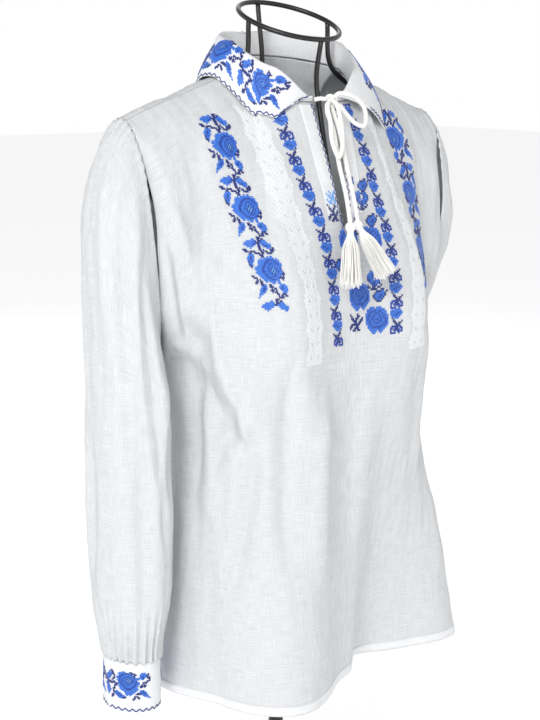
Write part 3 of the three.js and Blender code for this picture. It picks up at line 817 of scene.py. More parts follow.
def make_front(settings, materials):
    """The front panel: two half grids joined under the slit."""
    columns, rows = 84, 176
    faces, uv = net(columns, rows)
    share, down = grid_shares(columns, rows)
    halves = []
    for side in (-1, 1):
        points = panel_points(side, False, share, down)
        turned, corners = outwards_of(points, faces, uv * [side, 1], (0, 40, 430))
        halves.append((relieved(points, turned, settings, CREASES), turned, corners))
    # Under the slit both halves share one centre line.
    one, two = halves[0][0], halves[1][0]
    shared = (share < 1e-6) & (slit_half(two[:, 2]) < 0.3)
    one[shared] = two[shared] = (one[shared] + two[shared]) / 2
    one[shared, 0] = two[shared, 0] = 0
    points = np.concatenate([one, two])
    joined = np.concatenate([halves[0][1], halves[1][1] + len(one)])
    corners = np.concatenate([halves[0][2], halves[1][2]])
    made = cloth_piece(
        "front_panel_cloth", points, joined, corners, materials["gauze"],
        settings.cloth, (250, 610), weld=0.00002,
    )
    return finish_piece(made, "cotton_cloth", "front_panel")


def make_back(settings, materials):
    """The back panel."""
    columns, rows = 150, 150
    faces, uv = net(columns, rows)
    over, down = grid_shares(columns, rows)
    across = 1 - 2 * over
    right = panel_points(-1, True, np.abs(across), down)
    left = panel_points(1, True, np.abs(across), down)
    points = np.where((across < 0)[:, None], right, left)
    turned, corners = outwards_of(points, faces, uv, (0, 0, 430))
    points = relieved(points, turned, settings, CREASES)
    made = cloth_piece(
        "back_panel_cloth", points, turned, corners, materials["gauze"], settings.cloth, (430, 620)
    )
    return finish_piece(made, "cotton_cloth", "back_panel")


def sleeve_relief(turn, along):
    """Creases of a sleeve, its gathers over the cuff and the small puckers at the shoulder."""
    out = np.zeros_like(turn)
    for turn_0, turn_1, along_0, along_1, width, depth in SLEEVE_CREASES:
        t = np.clip((along - along_0) / (along_1 - along_0), 0, 1)
        away = (turn - lerp(turn_0, turn_1, t) + 0.5) % 1 - 0.5
        ends = smooth(t / 0.3) * smooth((1 - t) / 0.3)
        out += depth * bell(away * 250 / width) * ends
    low = smooth((along - 0.84) / 0.16)
    out += 1.3 * low * np.sin(turn * 2 * np.pi * 27 + 2.2 * np.sin(turn * 2 * np.pi * 3))
    high = smooth((0.09 - along) / 0.09) * bell(((turn + 0.5) % 1 - 0.5) / 0.14)
    return out + 0.8 * high * np.sin(turn * 2 * np.pi * 46)


def make_sleeve(name, side, settings, materials):
    """A sleeve, from the armhole round to its cuff."""
    hang = hang_on(side)
    columns, rows = 162, 132
    faces, uv = net(columns, rows, wrap_columns=True)
    turn, along = grid_shares(columns, rows, wrapped=True)
    points = sleeve_points(hang, turn, along) * [side, 1, 1]
    turned, corners = outwards_of(points, faces, uv, (side * 185, 0, 430))
    normals = normals_of(points, turned)
    depth = sleeve_relief(turn, along) * settings.crease
    depth += hang_of(points, settings)
    points = points + normals * depth[:, None]
    made = cloth_piece(
        name + "_cloth", points, turned, corners, materials["gauze"], settings.cloth, (260, 540)
    )
    return finish_piece(made, "cotton_cloth", name)


def cuff_points(hang, turn, down):
    """A cuff, for the wearer's left."""
    angle = turn * 2 * np.pi
    grow = 1 + 0.015 * down
    return stack(
        hang["cuff_x"] + CUFF[0] * grow * np.cos(angle),
        hang["cuff_y"] - CUFF[1] * grow * np.sin(angle),
        CUFF_TOP_Z - CUFF_HEIGHT * down,
    )


def make_cuff(name, side, materials):
    """A cuff, folded double."""
    hang = hang_on(side)
    faces, uv = net(120, 24, wrap_columns=True)
    turn, down = grid_shares(120, 24, wrapped=True)
    points = cuff_points(hang, turn, down) * [side, 1, 1]
    turned, corners = outwards_of(points, faces, uv, (side * hang["cuff_x"], hang["cuff_y"], 150))
    edge = bell(down * CUFF_HEIGHT / 2) + bell((1 - down) * CUFF_HEIGHT / 2)
    points = points + normals_of(points, turned) * (slack(points, 6, 40) * 0.35 - 0.5 * edge)[:, None]
    made = cloth_piece(
        name + "_cloth", points, turned, corners, materials["double"], 1.6, (190, CUFF_HEIGHT)
    )
    return finish_piece(made, "cotton_cloth", name)


# ---- Collar ----


def lying_height(trees, x, y):
    """Height of the collar's fall over a place in plan: a set distance off the panels' slope."""

    def top(at_x, at_y):
        for aside in (0.0, 0.7, -0.7, 2.0, -2.0, 5.0, -5.0):
            down = Vector((0, 0, -1))
            hits = [tree.ray_cast(Vector((at_x, at_y + aside, 900)), down)[0] for tree in trees]
            found = [hit.z for hit in hits if hit is not None]
            if found:
                return max(found)
        return 0.0

    here = top(x, y)
    along_x, along_y = top(x + 2, y) - top(x - 2, y), top(x, y + 2) - top(x, y - 2)
    slope = min(math.hypot(along_x, along_y) / 4, 3.0)
    return here + COLLAR_LIFT * math.hypot(1, slope)


def neckline_points(around):
    """The neckline all round, from the front of the wearer's right by the back to the left."""
    side = np.where(around < 0.5, -1, 1)
    front = np.where(around < 0.5, around * 2, 2 - around * 2)
    fore = upper_edge(False, NECK_SHARE * np.clip(2 * front, 0, 1))
    aft = upper_edge(True, NECK_SHARE * np.clip(2 - 2 * front, 0, 1))
    points = np.where((front > 0.5)[:, None], aft, fore)
    points[:, 0] *= side
    return points, front, side


def collar_points(around, over, trees):
    """The collar: its stand up to the roll, then the fall down onto the panels."""
    neck, front, side = neckline_points(around)
    outward = unit(neck * [1, 1, 0] + [0, 8, 0])
    foot = neck - outward * 0.8 + [0, 0, 1]
    roll = foot + outward * 2.5
    roll[:, 2] += lerp(5, 27, smooth(front / 0.24)) - 3 * smooth((front - 0.4) / 0.6)
    up = np.clip(over / COLLAR_ROLL, 0, 1)
    stand = lerp(foot, roll, up[:, None]) - outward * (2 * np.sin(up * np.pi))[:, None]
    down = np.clip((over - COLLAR_ROLL) / (1 - COLLAR_ROLL), 0, 1)
    right, left = (np.stack(uniform_spline(FALL_EDGE[key])(front)) for key in ("right", "left"))
    edge_x, edge_y = np.where(side < 0, right, left)
    out = np.power(down, 0.85)
    x, y = lerp(roll[:, 0], side * edge_x, out), lerp(roll[:, 1], edge_y, out)
    # The left corner's front edge bows forwards.
    y = y - 9 * np.sin(down * np.pi) * smooth(1 - front / 0.2) * (side > 0)
    lying = np.array([lying_height(trees, *place) for place in zip(x, y)])
    edges = {}
    for key, place in zip(around, zip(side * edge_x, edge_y)):
        if key not in edges:
            edges[key] = lying_height(trees, *place)
    edge_z = np.array([edges[key] for key in around])
    z = np.maximum(lerp(roll[:, 2], edge_z, np.power(down, 1.35)), lying)
    return np.where((over <= COLLAR_ROLL)[:, None], stand, stack(x, y, z))


def uniform_spline(points):
    """A smooth plane line through points with even steps of its share between them."""
    p = np.array(points, float)
    p = np.concatenate([p[:1], p, p[-1:]])

    def at(share):
        place = np.clip(share, 0, 1) * (len(points) - 1)
        k = np.minimum(place.astype(int), len(points) - 2)
        t = (place - k)[:, None]
        a, b, c, d = p[k], p[k + 1], p[k + 2], p[k + 3]
        v0, v1 = (c - a) / 2, (d - b) / 2
        q = (2 * b - 2 * c + v0 + v1) * t**3 + (3 * c - 3 * b - 2 * v0 - v1) * t**2 + v0 * t + b
        return q[:, 0], q[:, 1]

    return at


def make_collar(materials):
    """The turn-down collar, stand and fall in one."""
    columns, rows = COLLAR_COLUMNS, COLLAR_ROWS
    trees = [tree_of("front_panel_cloth"), tree_of("back_panel_cloth")]
    faces, uv = net(columns, rows)
    around, over = grid_shares(columns, rows)
    points = collar_points(around, over, trees)
    fall = np.min(uv[:, :, 1], 1) > COLLAR_ROLL + 0.1
    flat = facing(points, faces[fall], (0, 0, 500))
    turned = faces if np.array_equal(flat, faces[fall]) else faces[:, ::-1]
    corners = uv if np.array_equal(turned, faces) else uv[:, ::-1]
    depth = slack(points, 12, 60) * 0.5
    points = points + normals_of(points, turned) * depth[:, None]
    made = cloth_piece("collar_cloth", points, turned, corners, materials["double"], 1.2, (420, 90))
    return finish_piece(made, "cotton_cloth", "collar")


# ---- Embroidery ----


class Patch:
    """Part of a cloth surface measured off in millimetres across and down, for laying stitches."""

    def __init__(self, table, u_start, v_start, step, tree):
        self.table, self.u_start, self.v_start, self.step, self.tree = table, u_start, v_start, step, tree

    def at(self, u, v):
        """Points and outward directions on the cloth at places u across and v down."""
        i = np.clip((np.asarray(u, float) - self.u_start) / self.step, 0, self.table.shape[0] - 1.001)
        j = np.clip((np.asarray(v, float) - self.v_start) / self.step, 0, self.table.shape[1] - 1.001)
        a, b = i.astype(int), j.astype(int)
        s, t = (i - a)[:, None], (j - b)[:, None]
        table = self.table
        here = lerp(lerp(table[a, b], table[a + 1, b], s), lerp(table[a, b + 1], table[a + 1, b + 1], s), t)
        points, outward = np.empty_like(here), np.empty_like(here)
        for k, place in enumerate(here):
            found, normal, _, _ = self.tree.find_nearest(Vector(place))
            points[k], outward[k] = found, normal
        return points, outward


def measured(lines, step, start=None, length=None):
    """Lines of points resampled at even steps along each; shorter lines stop at their end."""
    out = []
    for line in lines:
        gone = travelled(line)
        if start is not None:
            gone = gone - np.interp(-start, -line[:, 2], gone)
        out.append((gone, line))
    low = 0 if start is None else min(g[0] for g, _ in out)
    high = length if length else max(g[-1] for g, _ in out)
    at = np.arange(math.ceil(low / step), math.floor(high / step) + 1) * step
    table = np.array([[np.interp(at, gone, line[:, k]) for k in range(3)] for gone, line in out])
    return np.moveaxis(table, 1, 2), at[0]


def front_patch():
    """The front, measured across from the centre line and down from FRONT_LEVEL."""
    share = np.linspace(0, 0.8, 90)
    down = np.linspace(0, 0.72, 240)
    levels = np.arange(FRONT_TOP, BICEP_Z, -2.0)
    across = np.arange(-156, 157, 2.0)
    sides = []
    for side in (-1, 1):
        s, d = np.meshgrid(share, down, indexing="ij")
        points = panel_points(side, False, s.ravel(), d.ravel()).reshape(len(share), len(down), 3)
        level = np.array([[np.interp(-levels, -line[:, 2], line[:, k]) for k in range(3)] for line in points])
        level = np.moveaxis(level, (0, 1, 2), (1, 2, 0))
        reach = np.cumsum(np.linalg.norm(np.diff(level, axis=1), axis=2), 1)
        reach = np.concatenate([np.zeros((len(levels), 1)), reach], 1) + np.abs(level[:, :1, 0])
        wanted = across[across >= 0]
        rows = [[np.interp(wanted, reach[k], level[k, :, c]) for c in range(3)] for k in range(len(levels))]
        half = np.moveaxis(np.array(rows), 1, 2)
        sides.append(half[:, ::-1][:, :-1] if side < 0 else half)
    table = np.moveaxis(np.concatenate(sides, 1), 0, 1)
    table, v_start = measured(table, 2.0, start=FRONT_LEVEL)
    return Patch(table, across[0], v_start, 2.0, tree_of("front_panel_cloth"))


def collar_patch():
    """The fall of the collar, measured along its middle from the wearer's right, and in from its edge."""
    points = mesh_points(bpy.data.objects["collar_cloth"].data)
    points = points.reshape(COLLAR_ROWS + 1, COLLAR_COLUMNS + 1, 3)
    first = math.ceil(COLLAR_ROWS * COLLAR_ROLL)
    fall = np.moveaxis(points[first:][::-1], 0, 1)
    table, v_start = measured(fall, 1.0, length=FALL_WIDTH)
    gone = travelled(table[:, 22])
    at = np.arange(0, gone[-1])
    even = np.empty((len(at), table.shape[1], 3))
    for j in range(table.shape[1]):
        for k in range(3):
            even[:, j, k] = np.interp(at, gone, table[:, j, k])
    return Patch(even, 0.0, v_start, 1.0, tree_of("collar_cloth")), gone[-1]


def cuff_patch(name, side):
    """A cuff, measured round from the outer side of the arm and down from its top."""
    hang = hang_on(side)
    girth = 2 * np.pi * math.sqrt((CUFF[0] ** 2 + CUFF[1] ** 2) / 2)
    turn, down = np.linspace(0, 1, int(girth) + 1), np.linspace(0, 1, CUFF_HEIGHT + 1)
    t, d = np.meshgrid(turn, down, indexing="ij")
    table = (cuff_points(hang, t.ravel(), d.ravel()) * [side, 1, 1]).reshape(len(turn), len(down), 3)
    return Patch(table, 0.0, 0.0, 1.0, tree_of(name + "_cloth")), girth


def bars(name, starts, ends, outward, width, thick, kinds, materials):
    """Short straight threads laid on cloth, all in one mesh. Each is a thin block."""
    cube = bmesh.new()
    bmesh.ops.create_cube(cube, size=1.0)
    cube.verts.index_update()
    block = np.array([v.co[:] for v in cube.verts])
    faces = np.array([[v.index for v in f.verts] for f in cube.faces])
    cube.free()
    along = ends - starts
    side = unit(np.cross(outward, along)) * width
    rise = unit(np.cross(along, side)) * np.broadcast_to(thick, len(starts))[:, None]
    middle = (starts + ends) / 2
    points = middle[:, None] + block[None, :, :1] * along[:, None]
    points = points + block[None, :, 1:2] * side[:, None] + block[None, :, 2:] * rise[:, None]
    faces = (faces[None] + (np.arange(len(starts)) * 8)[:, None, None]).reshape(-1, 4)
    made = mesh_object(
        name, points.reshape(-1, 3), faces, [materials[k] for k in "mdnlw"],
        kinds=np.repeat(np.array(["mdnlw".index(k) for k in kinds]), 6),
    )
    made.data.shade_flat()
    return finish_piece(made, None)


def crosses(name, patch, stitches, pitch, materials, width=0.72, across=None, along=None):
    """Cross-stitches. Each is its place across and down in the patch's millimetres, and its thread."""
    u = np.array([s[0] for s in stitches], float)
    v = np.array([s[1] for s in stitches], float)
    kinds = [s[2] for s in stitches]
    wide, tall = (across or pitch) * 0.5, (along or pitch) * 0.5
    corners = {}
    for key, (du, dv) in {"a": (-1, -1), "b": (1, 1), "c": (1, -1), "d": (-1, 1)}.items():
        corners[key] = patch.at(u + du * wide, v + dv * tall)
    starts = np.concatenate([corners["a"][0], corners["c"][0]])
    ends = np.concatenate([corners["b"][0], corners["d"][0]])
    outward = unit(
        np.concatenate([corners["a"][1] + corners["b"][1], corners["c"][1] + corners["d"][1]])
    )
    lift = np.repeat([0.22, 0.40], len(u))[:, None] * outward
    return bars(name, starts + lift, ends + lift, outward, pitch * width / 1.75, 0.4, kinds * 2, materials)


def charted(chart, along_first=False, mirrored=False):
    """The stitches of a chart as column, row, thread; turned on its side if it runs across."""
    rows = [line for line in chart.strip("\n").split("\n")]
    found = []
    for row, line in enumerate(rows):
        for column, thread in enumerate(line):
            if thread in "mdnlw":
                column_at = len(line) - 1 - column if mirrored else column
                found.append((row, column_at, thread) if along_first else (column_at, row, thread))
    return found, max(len(line) for line in rows), len(rows)


def guide_line(name, band_name):
    """A band's guide line down the front, as places (down, across)."""
    start, stop, off = BANDS[name][band_name]
    side = -1 if name == "right" else 1
    levels = [start] + [level for level in BAND_LEVELS if start < level < stop] + [stop]
    return [(level, side * float(np.interp(level, BAND_LEVELS, off))) for level in levels]


def band(chart, guide, pitch, side=1, last_rows=0, end_chart=None, repeats=99):
    """Repeats of a chart down a guide line of (v, u), counted up from its foot so that it is whole.
    The chart's rows step by the first pitch and its columns by the second. A band ends in the chart's
    own first rows, or in an end chart."""
    found, wide, high = charted(chart)
    guide = np.array(guide, float)
    top, bottom = guide[0, 0], guide[-1, 0]
    stitches = []
    rows = int((bottom - top) / pitch[0])
    if end_chart:
        tail, _, tail_rows = charted(end_chart)
        stitches = [(column, rows - tail_rows + row, thread) for column, row, thread in tail]
        rows -= tail_rows
    for column, row, thread in found:
        for k in range(0 if last_rows else 1, repeats + 1):
            at = rows - last_rows + row - k * high
            if 0 <= at < rows:
                stitches.append((column, at, thread))
    out = []
    for column, row, thread in stitches:
        v = top + (row + 0.5) * pitch[0]
        centre = np.interp(v, guide[:, 0], guide[:, 1])
        out.append((centre - side * (column - (wide - 1) / 2) * pitch[1], v, thread))
    return out


def zigzag(name, patch, line, outwards, pitch, depth, materials, width):
    """A zigzag of navy stitches along an edge: line gives (u, v), outwards its side step."""
    line, outwards = np.asarray(line, float), np.asarray(outwards, float)
    gone = travelled(line)
    at = np.arange(0, gone[-1], pitch / 2)
    out = np.arange(len(at)) % 2
    u = np.interp(at, gone, line[:, 0]) + np.interp(at, gone, outwards[:, 0]) * depth * out
    v = np.interp(at, gone, line[:, 1]) + np.interp(at, gone, outwards[:, 1]) * depth * out
    points, outward = patch.at(u, v)
    raised = points + outward * 0.3
    return bars(
        name, raised[:-1], raised[1:], outward[:-1], width, 0.45, ["n"] * (len(at) - 1), materials
    )


def openwork(guide, pitch):
    """A band of white drawn-thread work: small white stitches with small gaps, its edges stepped."""
    stitches = []
    for row in range(int((guide[-1][0] - guide[0][0]) / pitch)):
        v = guide[0][0] + (row + 0.5) * pitch
        centre = np.interp(v, [g[0] for g in guide], [g[1] for g in guide])
        step = abs((row / 16) % 1 - 0.5) * 2
        for column in range(-9, 10):
            gap = (row % 8 in (0, 1)) and abs(column) in (3, 4)
            if abs(column) > 6 + 2.4 * step or (row + column) % 2 or gap:
                continue
            stitches.append((centre + column * 1.62, v, "w"))
    return stitches


def strip(name, points, outward, columns, rows, lift, materials, closed=False):
    """A narrow doubled layer of cloth lying on a panel, from a grid of points row by row."""
    faces, uv = net(columns, rows, wrap_columns=closed)
    raised = points + outward * lift
    turned = faces if np.sum(normals_of(raised, faces) * outward) > 0 else faces[:, ::-1]
    size = np.array([run_length(points[: columns + 1]), run_length(points[:: columns + 1])]) * 0.001
    made = mesh_object(name, raised, turned, [materials["double"]], uv * size)
    return finish_piece(wall(made, 0.35), "cotton_cloth")


def make_hems(materials):
    """The hem of each panel, turned up 10 mm and double."""
    for name, back in (("front_hem", False), ("back_hem", True)):
        over, down = grid_shares(168, 3)
        across = 1 - 2 * over
        deep = 1 - HEM_TURN + down * HEM_TURN
        halves = [panel_points(s, back, np.abs(across), deep) for s in (1, -1)]
        points = np.where((across < 0)[:, None], halves[1], halves[0])
        tree = tree_of("back_panel_cloth" if back else "front_panel_cloth")
        found = [tree.find_nearest(Vector(p))[:2] for p in points]
        on, outward = (np.array([f[k][:] for f in found]) for k in (0, 1))
        strip(name, on, outward, 168, 3, 0.3, materials)


def make_plackets(patch, materials):
    """The plain facing strip down each side of the slit."""
    for name, side in (("placket_right", -1), ("placket_left", 1)):
        over, down = grid_shares(10, 60)
        v = lerp(-176, -52, down)
        high = np.interp(v, [-176, -36], [FRONT_TOP, SLIT_BOTTOM_Z])
        u = side * (slit_half(high) + 0.6 + over * 18)
        points, outward = patch.at(u, v)
        strip(name, points, outward, 10, 60, 0.35, materials)


def make_front_embroidery(settings, materials):
    """The blue bands, the centre panel and the white openwork of the front."""
    patch = front_patch()
    pitch = settings.pitch
    for name, side in (("right", -1), ("left", 1)):
        guides = {key: guide_line(name, key) for key in BANDS[name]}
        white = openwork(guides["openwork"], pitch)
        crosses("openwork_" + name, patch, white, pitch, materials, 0.44)
        narrow = band(NARROW, guides["narrow"], (1.72, 1.62), side, last_rows=9)
        crosses("narrow_band_" + name, patch, narrow, 1.72, materials)
        # Three repeats of 35 rows and 7 end rows fill the garland, with a fifth of a row to spare.
        step = (guides["garland"][-1][0] - guides["garland"][0][0]) / 112.2
        wide = band(GARLAND, guides["garland"], (step, 1.28), side, end_chart=GARLAND_END, repeats=3)
        crosses("garland_" + name, patch, wide, step, materials, across=1.28)
        high = np.linspace(FRONT_TOP, SLIT_BOTTOM_Z + 3, 60)
        v = np.interp(-high, [-FRONT_TOP, -SLIT_BOTTOM_Z], [-172, -36])
        line = np.stack([side * (slit_half(high) + 0.6), v], 1)
        zigzag("slit_zigzag_" + name, patch, line, [(side, 0)] * 60, 7.2, 3.0, materials, 1.0)
    stitches = []
    for chart, right, down in CENTRE_MOTIFS:
        found, wide, tall = charted(chart)
        for column, row, thread in found:
            u = right + (column - (wide - 1) / 2) * 1.85
            v = down + (row - (tall - 1) / 2) * 1.95
            level = FRONT_LEVEL - v
            if abs(u) > slit_half(level) + 2.5 or level < SLIT_BOTTOM_Z - 4:
                stitches.append((u, v, thread))
    crosses("centre_flowers", patch, stitches, 1.95, materials, across=1.85)
    make_plackets(patch, materials)


def make_collar_embroidery(materials):
    """The garland round the collar and the navy zigzag along its edge."""
    patch, around = collar_patch()
    found, _, high = charted(GARLAND, along_first=True)
    stitches = []
    for side in (-1, 1):
        for k in range(5):
            for row, column, thread in found:
                u = 30 + (k * high + high - 1 - row) * 1.8
                if u < around / 2:
                    stitches.append((u if side < 0 else around - u, 7 + column * 1.4, thread))
    crosses("collar_garland", patch, stitches, 1.8, materials, across=1.8, along=1.4)
    ends = np.linspace(0.5, around - 0.5, 300)
    line = np.stack([ends, np.full(300, 0.6)], 1)
    zigzag("collar_zigzag", patch, line, [(0, 1)] * 300, 6.4, 2.4, materials, 1.0)
    for name, at, out in (("right", 0.6, 1), ("left", around - 0.6, -1)):
        line = np.stack([np.full(40, at), np.linspace(1, 44, 40)], 1)
        zigzag("collar_end_zigzag_" + name, patch, line, [(out, 0)] * 40, 6.4, 2.4, materials, 1.0)


def make_cuff_embroidery(name, side, materials):
    """Three garland repeats round a cuff and a zigzag along its lower edge."""
    patch, girth = cuff_patch(name, side)
    found, _, high = charted(GARLAND, along_first=True)
    stitches = []
    for k in range(3):
        for row, column, thread in found:
            u = (k * high + row) * 1.5 + girth * CUFF_START
            stitches.append((u % girth, CUFF_HEIGHT - 12 - column * 1.18, thread))
    crosses(name + "_garland", patch, stitches, 1.5, materials, across=1.5, along=1.18)
    low = np.linspace(0, girth, 200)
    line = np.stack([low, np.full(200, CUFF_HEIGHT - 0.8)], 1)
    zigzag(name + "_zigzag", patch, line, [(0, -1)] * 200, 7.2, 3.2, materials, 1.1)


# ---- Tie and tassels ----

CORD_R, KNOT_R, TASSEL_HEAD_R, TASSEL_R = 2.1, 6.0, 4.8, 6.5
KNOT = np.array([-3.0, -78, 722])
HEADS = {"right": np.array([-14.0, -121, 602]), "left": np.array([-2.5, -119, 603])}
SKIRT_ENDS = {"right": np.array([-23.0, -133, 549]), "left": np.array([23.0, -134, 556])}


def from_knot(leave, *rest):
    """Points of a stretch of cord that starts in the knot and leaves it in one direction."""
    out = unit(np.array(leave, float))
    return [KNOT + out * (KNOT_R - 1.5), KNOT + out * (KNOT_R + 5)] + [np.array(p, float) for p in rest]


def tie_lines():
    """The centre lines of the two free ends and the two bow loops."""
    over = np.array([0, 0, TASSEL_HEAD_R - 1])

    def home(direction):
        out = unit(np.array(direction, float))
        return [KNOT + out * (KNOT_R + 5), KNOT + out * (KNOT_R - 1.5)]

    return {
        "tie_end_right": from_knot(
            (-0.3, 0.1, -0.95), (-6, -86, 694), (-8, -97, 662), (-10, -110, 632), HEADS["right"] + over
        ),
        "tie_end_left": from_knot(
            (0.4, 0.1, -0.93), (1, -88, 690), (1, -98, 660), (-1, -111, 630), HEADS["left"] + over
        ),
        "tie_loop_left": from_knot(
            (0.75, -0.35, 0.55), (22, -86, 724), (34, -88, 712), (31, -91, 697), (19, -91, 699),
            *home((0.72, -0.4, -0.55)),
        ),
        "tie_loop_right": from_knot(
            (-0.75, -0.4, -0.5), (-13, -89, 703), (-16, -96, 682), (-12, -101, 668), (-6, -99, 676),
            (-3, -95, 694), *home((-0.15, -0.95, -0.3)),
        ),
    }


def make_tassel(name, side, settings, materials):
    """A tassel: a wound head, its binding, and a skirt of cut yarns."""
    head, end = HEADS[side], SKIRT_ENDS[side]
    along = unit(end - head)
    one = unit(np.cross(along, [0, 1, 0.2]))
    two = np.cross(along, one)
    length = float(np.linalg.norm(end - head))
    chance = np.random.default_rng(11 if side == "left" else 12)
    shell = []
    for turn in np.arange(20) / 20 * 2 * np.pi:
        t = np.linspace(0.06, 0.94, 12) * np.pi
        ring = np.sin(t)[:, None] * (math.cos(turn) * one + math.sin(turn) * two) * (TASSEL_HEAD_R - 0.7)
        shell.append(head + ring - along * (np.cos(t) * (TASSEL_HEAD_R - 0.6))[:, None])
    wound = tubes(name + "_head", shell, 0.95, materials["cord"], 6)
    finish_piece(wound, "cotton_cord", name)
    core = bpy.data.meshes.new(name + "_core")
    work = bmesh.new()
    bmesh.ops.create_uvsphere(work, u_segments=20, v_segments=12, radius=(TASSEL_HEAD_R - 0.6) * 0.001)
    bmesh.ops.translate(work, verts=work.verts, vec=Vector(metres(head)))
    work.to_mesh(core)
    work.free()
    finish_piece(placed(name + "_core", core, materials["cord"]), "cotton_cord")
    neck = head + along * (TASSEL_HEAD_R + 0.2)
    coil = np.linspace(0, 4 * 2 * np.pi, 72)
    wrap = neck + along * (coil / (2 * np.pi) * 0.75 - 1.2)[:, None]
    wrap = wrap + 3.0 * (np.cos(coil)[:, None] * one + np.sin(coil)[:, None] * two)
    finish_piece(tubes(name + "_binding", [wrap], 0.45, materials["cord"], 6), "cotton_cord")
    yarns = []
    for k in range(settings.yarns):
        turn = k * 2.39996
        share = math.sqrt((k + 0.5) / settings.yarns)
        t = np.linspace(0, 1, 12)
        wide = lerp(2.2, 1.0 * TASSEL_R, smooth(t / 0.35)) + 0.7 * TASSEL_R * t
        wave = 0.5 * np.sin(t * chance.uniform(4, 9) + chance.uniform(0, 6)) * t
        turn = turn + chance.normal() * 0.15 * t + wave * 0.12
        reach = wide * share + wave * 0.5
        start = neck - along * 0.8
        run = (length - TASSEL_HEAD_R + 0.8 + chance.normal() * 1.6 - (0.6 if share > 0.9 else 0)) * t
        sag = np.array([0, 0, -1.0]) * (1.5 * t * t)[:, None]
        line = start + along * run[:, None] + sag
        yarns.append(line + reach[:, None] * (np.cos(turn)[:, None] * one + np.sin(turn)[:, None] * two))
    finish_piece(tubes(name + "_yarns", yarns, 0.46, materials["cord"], 5), "cotton_cord")


def make_tie(materials):
    """The tie: two free ends with tassels, two bow loops, the leads to the collar and the knot."""
    lines = {name: curve(points, 170) for name, points in tie_lines().items()}
    for name, line in lines.items():
        made = tubes(name + "_cord", [line], CORD_R, materials["cord"], 24, lobes=3)
        finish_piece(made, "cotton_cord", name)
    for name, x in (("tie_lead_right", -1), ("tie_lead_left", 1)):
        points = from_knot((0.95 * x, 0.5, 0.1), (-16 if x < 0 else 13, -69.5, 722))
        made = tubes(name + "_cord", [curve(points, 20)], CORD_R, materials["cord"], 18, lobes=3)
        finish_piece(made, "cotton_cord", name)
    turn = np.linspace(0, 2 * np.pi, 96, endpoint=False)
    knot = np.stack([
        (2.3 + 1.9 * np.cos(3 * turn)) * np.cos(2 * turn),
        2.2 * np.sin(3 * turn),
        (2.3 + 1.9 * np.cos(3 * turn)) * np.sin(2 * turn),
    ], -1)
    made = tubes("tie_knot_cord", [KNOT + knot], 1.75, materials["cord"], 14, closed=True)
    finish_piece(made, "cotton_cord", "tie_knot")


# ---- The wire form ----

WIRE_R, WIRE_GAP, POST_R, BASE_R, BASE_THICK = 2.5, 0.4, 8, 125, 6
RINGS = {
    "bust": {"half": 116, "front": 94, "back": 74, "z": 545},
    "waist": {"half": 92, "front": 76, "back": 64, "z": 400},
    "hip": {"half": 98, "front": 70, "back": 72, "z": 262},
}


def ring_point(ring, degrees, inset=0.0):
    """A place on a level ring, at an angle from the centre front."""
    turn = math.radians(degrees)
    deep = ring["front"] if math.cos(turn) > 0 else ring["back"]
    return ((ring["half"] - inset) * math.sin(turn), -(deep - inset) * math.cos(turn), ring["z"])


def neck_ring_point(degrees, below=0.0):
    """A place on the tilted neck ring, or square under it."""
    turn, tilt = math.radians(degrees), math.radians(NECK_RING["tilt"])
    forward = NECK_RING["radius"] * math.cos(turn)
    return (
        NECK_RING["radius"] * math.sin(turn),
        NECK_RING["y"] - forward * math.cos(tilt) + below * math.sin(tilt),
        NECK_RING["z"] - forward * math.sin(tilt) - below * math.cos(tilt),
    )


def rib_points(degrees):
    """An upright wire inside three rings. The front and back ones reach up to the neck ring."""
    inset = WIRE_R * 2 + WIRE_GAP + 0.3
    upper = [(48, 54, 30, 742, 0), (84, 62, 50, 700, 0), (108, 78, 66, 630, 0)]
    lower = [(116, 94, 74, 545, inset), (98, 84, 64, 470, 0), (92, 76, 64, 400, inset),
             (90, 66, 62, 330, 0), (98, 70, 72, 262, inset), (98, 70, 72, 250, inset)]
    if degrees % 180 == 0:
        points, levels = [neck_ring_point(degrees, 0.5)], upper + lower
    else:
        points, levels = [], [(116, 94, 74, 557, inset)] + lower
    for half, front, back, z, inside in levels:
        ring = {"half": half, "front": front, "back": back, "z": z}
        points.append(ring_point(ring, degrees, inside))
    return points


def shoulder_points(side):
    """A shoulder wire: along under the seam to the tip, then back to the bust ring."""
    x, y, z = ring_point(RINGS["bust"], side * 90, -WIRE_R * 2 - WIRE_GAP)
    return [
        neck_ring_point(side * 90, 0.5), (side * 56, -12, 756),
        (side * 78, -11, NECK_Z - 11), (side * 125, -9, NECK_Z - 27), (side * 172, -6, SHOULDER_Z + 1),
        (side * 181, -2, SHOULDER_Z - 14), (side * 172, 0, 655), (side * 140, 0, 590), (x, y, z - 6),
    ]


def disc(name, radius, low, high, bevel, material, solid):
    """A turned disc or post with softened edges."""
    work = bmesh.new()
    bmesh.ops.create_cone(
        work, cap_ends=True, segments=96, radius1=radius * 0.001, radius2=radius * 0.001,
        depth=(high - low) * 0.001,
    )
    bmesh.ops.translate(work, verts=work.verts, vec=Vector(metres((0, 0, (low + high) / 2))))
    rims = [e for e in work.edges if len(e.link_faces) == 2 and any(len(f.verts) > 4 for f in e.link_faces)]
    bmesh.ops.bevel(
        work, geom=rims, offset=bevel * 0.001, offset_type="OFFSET", segments=3, profile=0.5,
        affect="EDGES", material=-1,
    )
    mesh = bpy.data.meshes.new(name)
    work.to_mesh(mesh)
    work.free()
    return finish_piece(placed(name, mesh, material), "black_wire", solid)


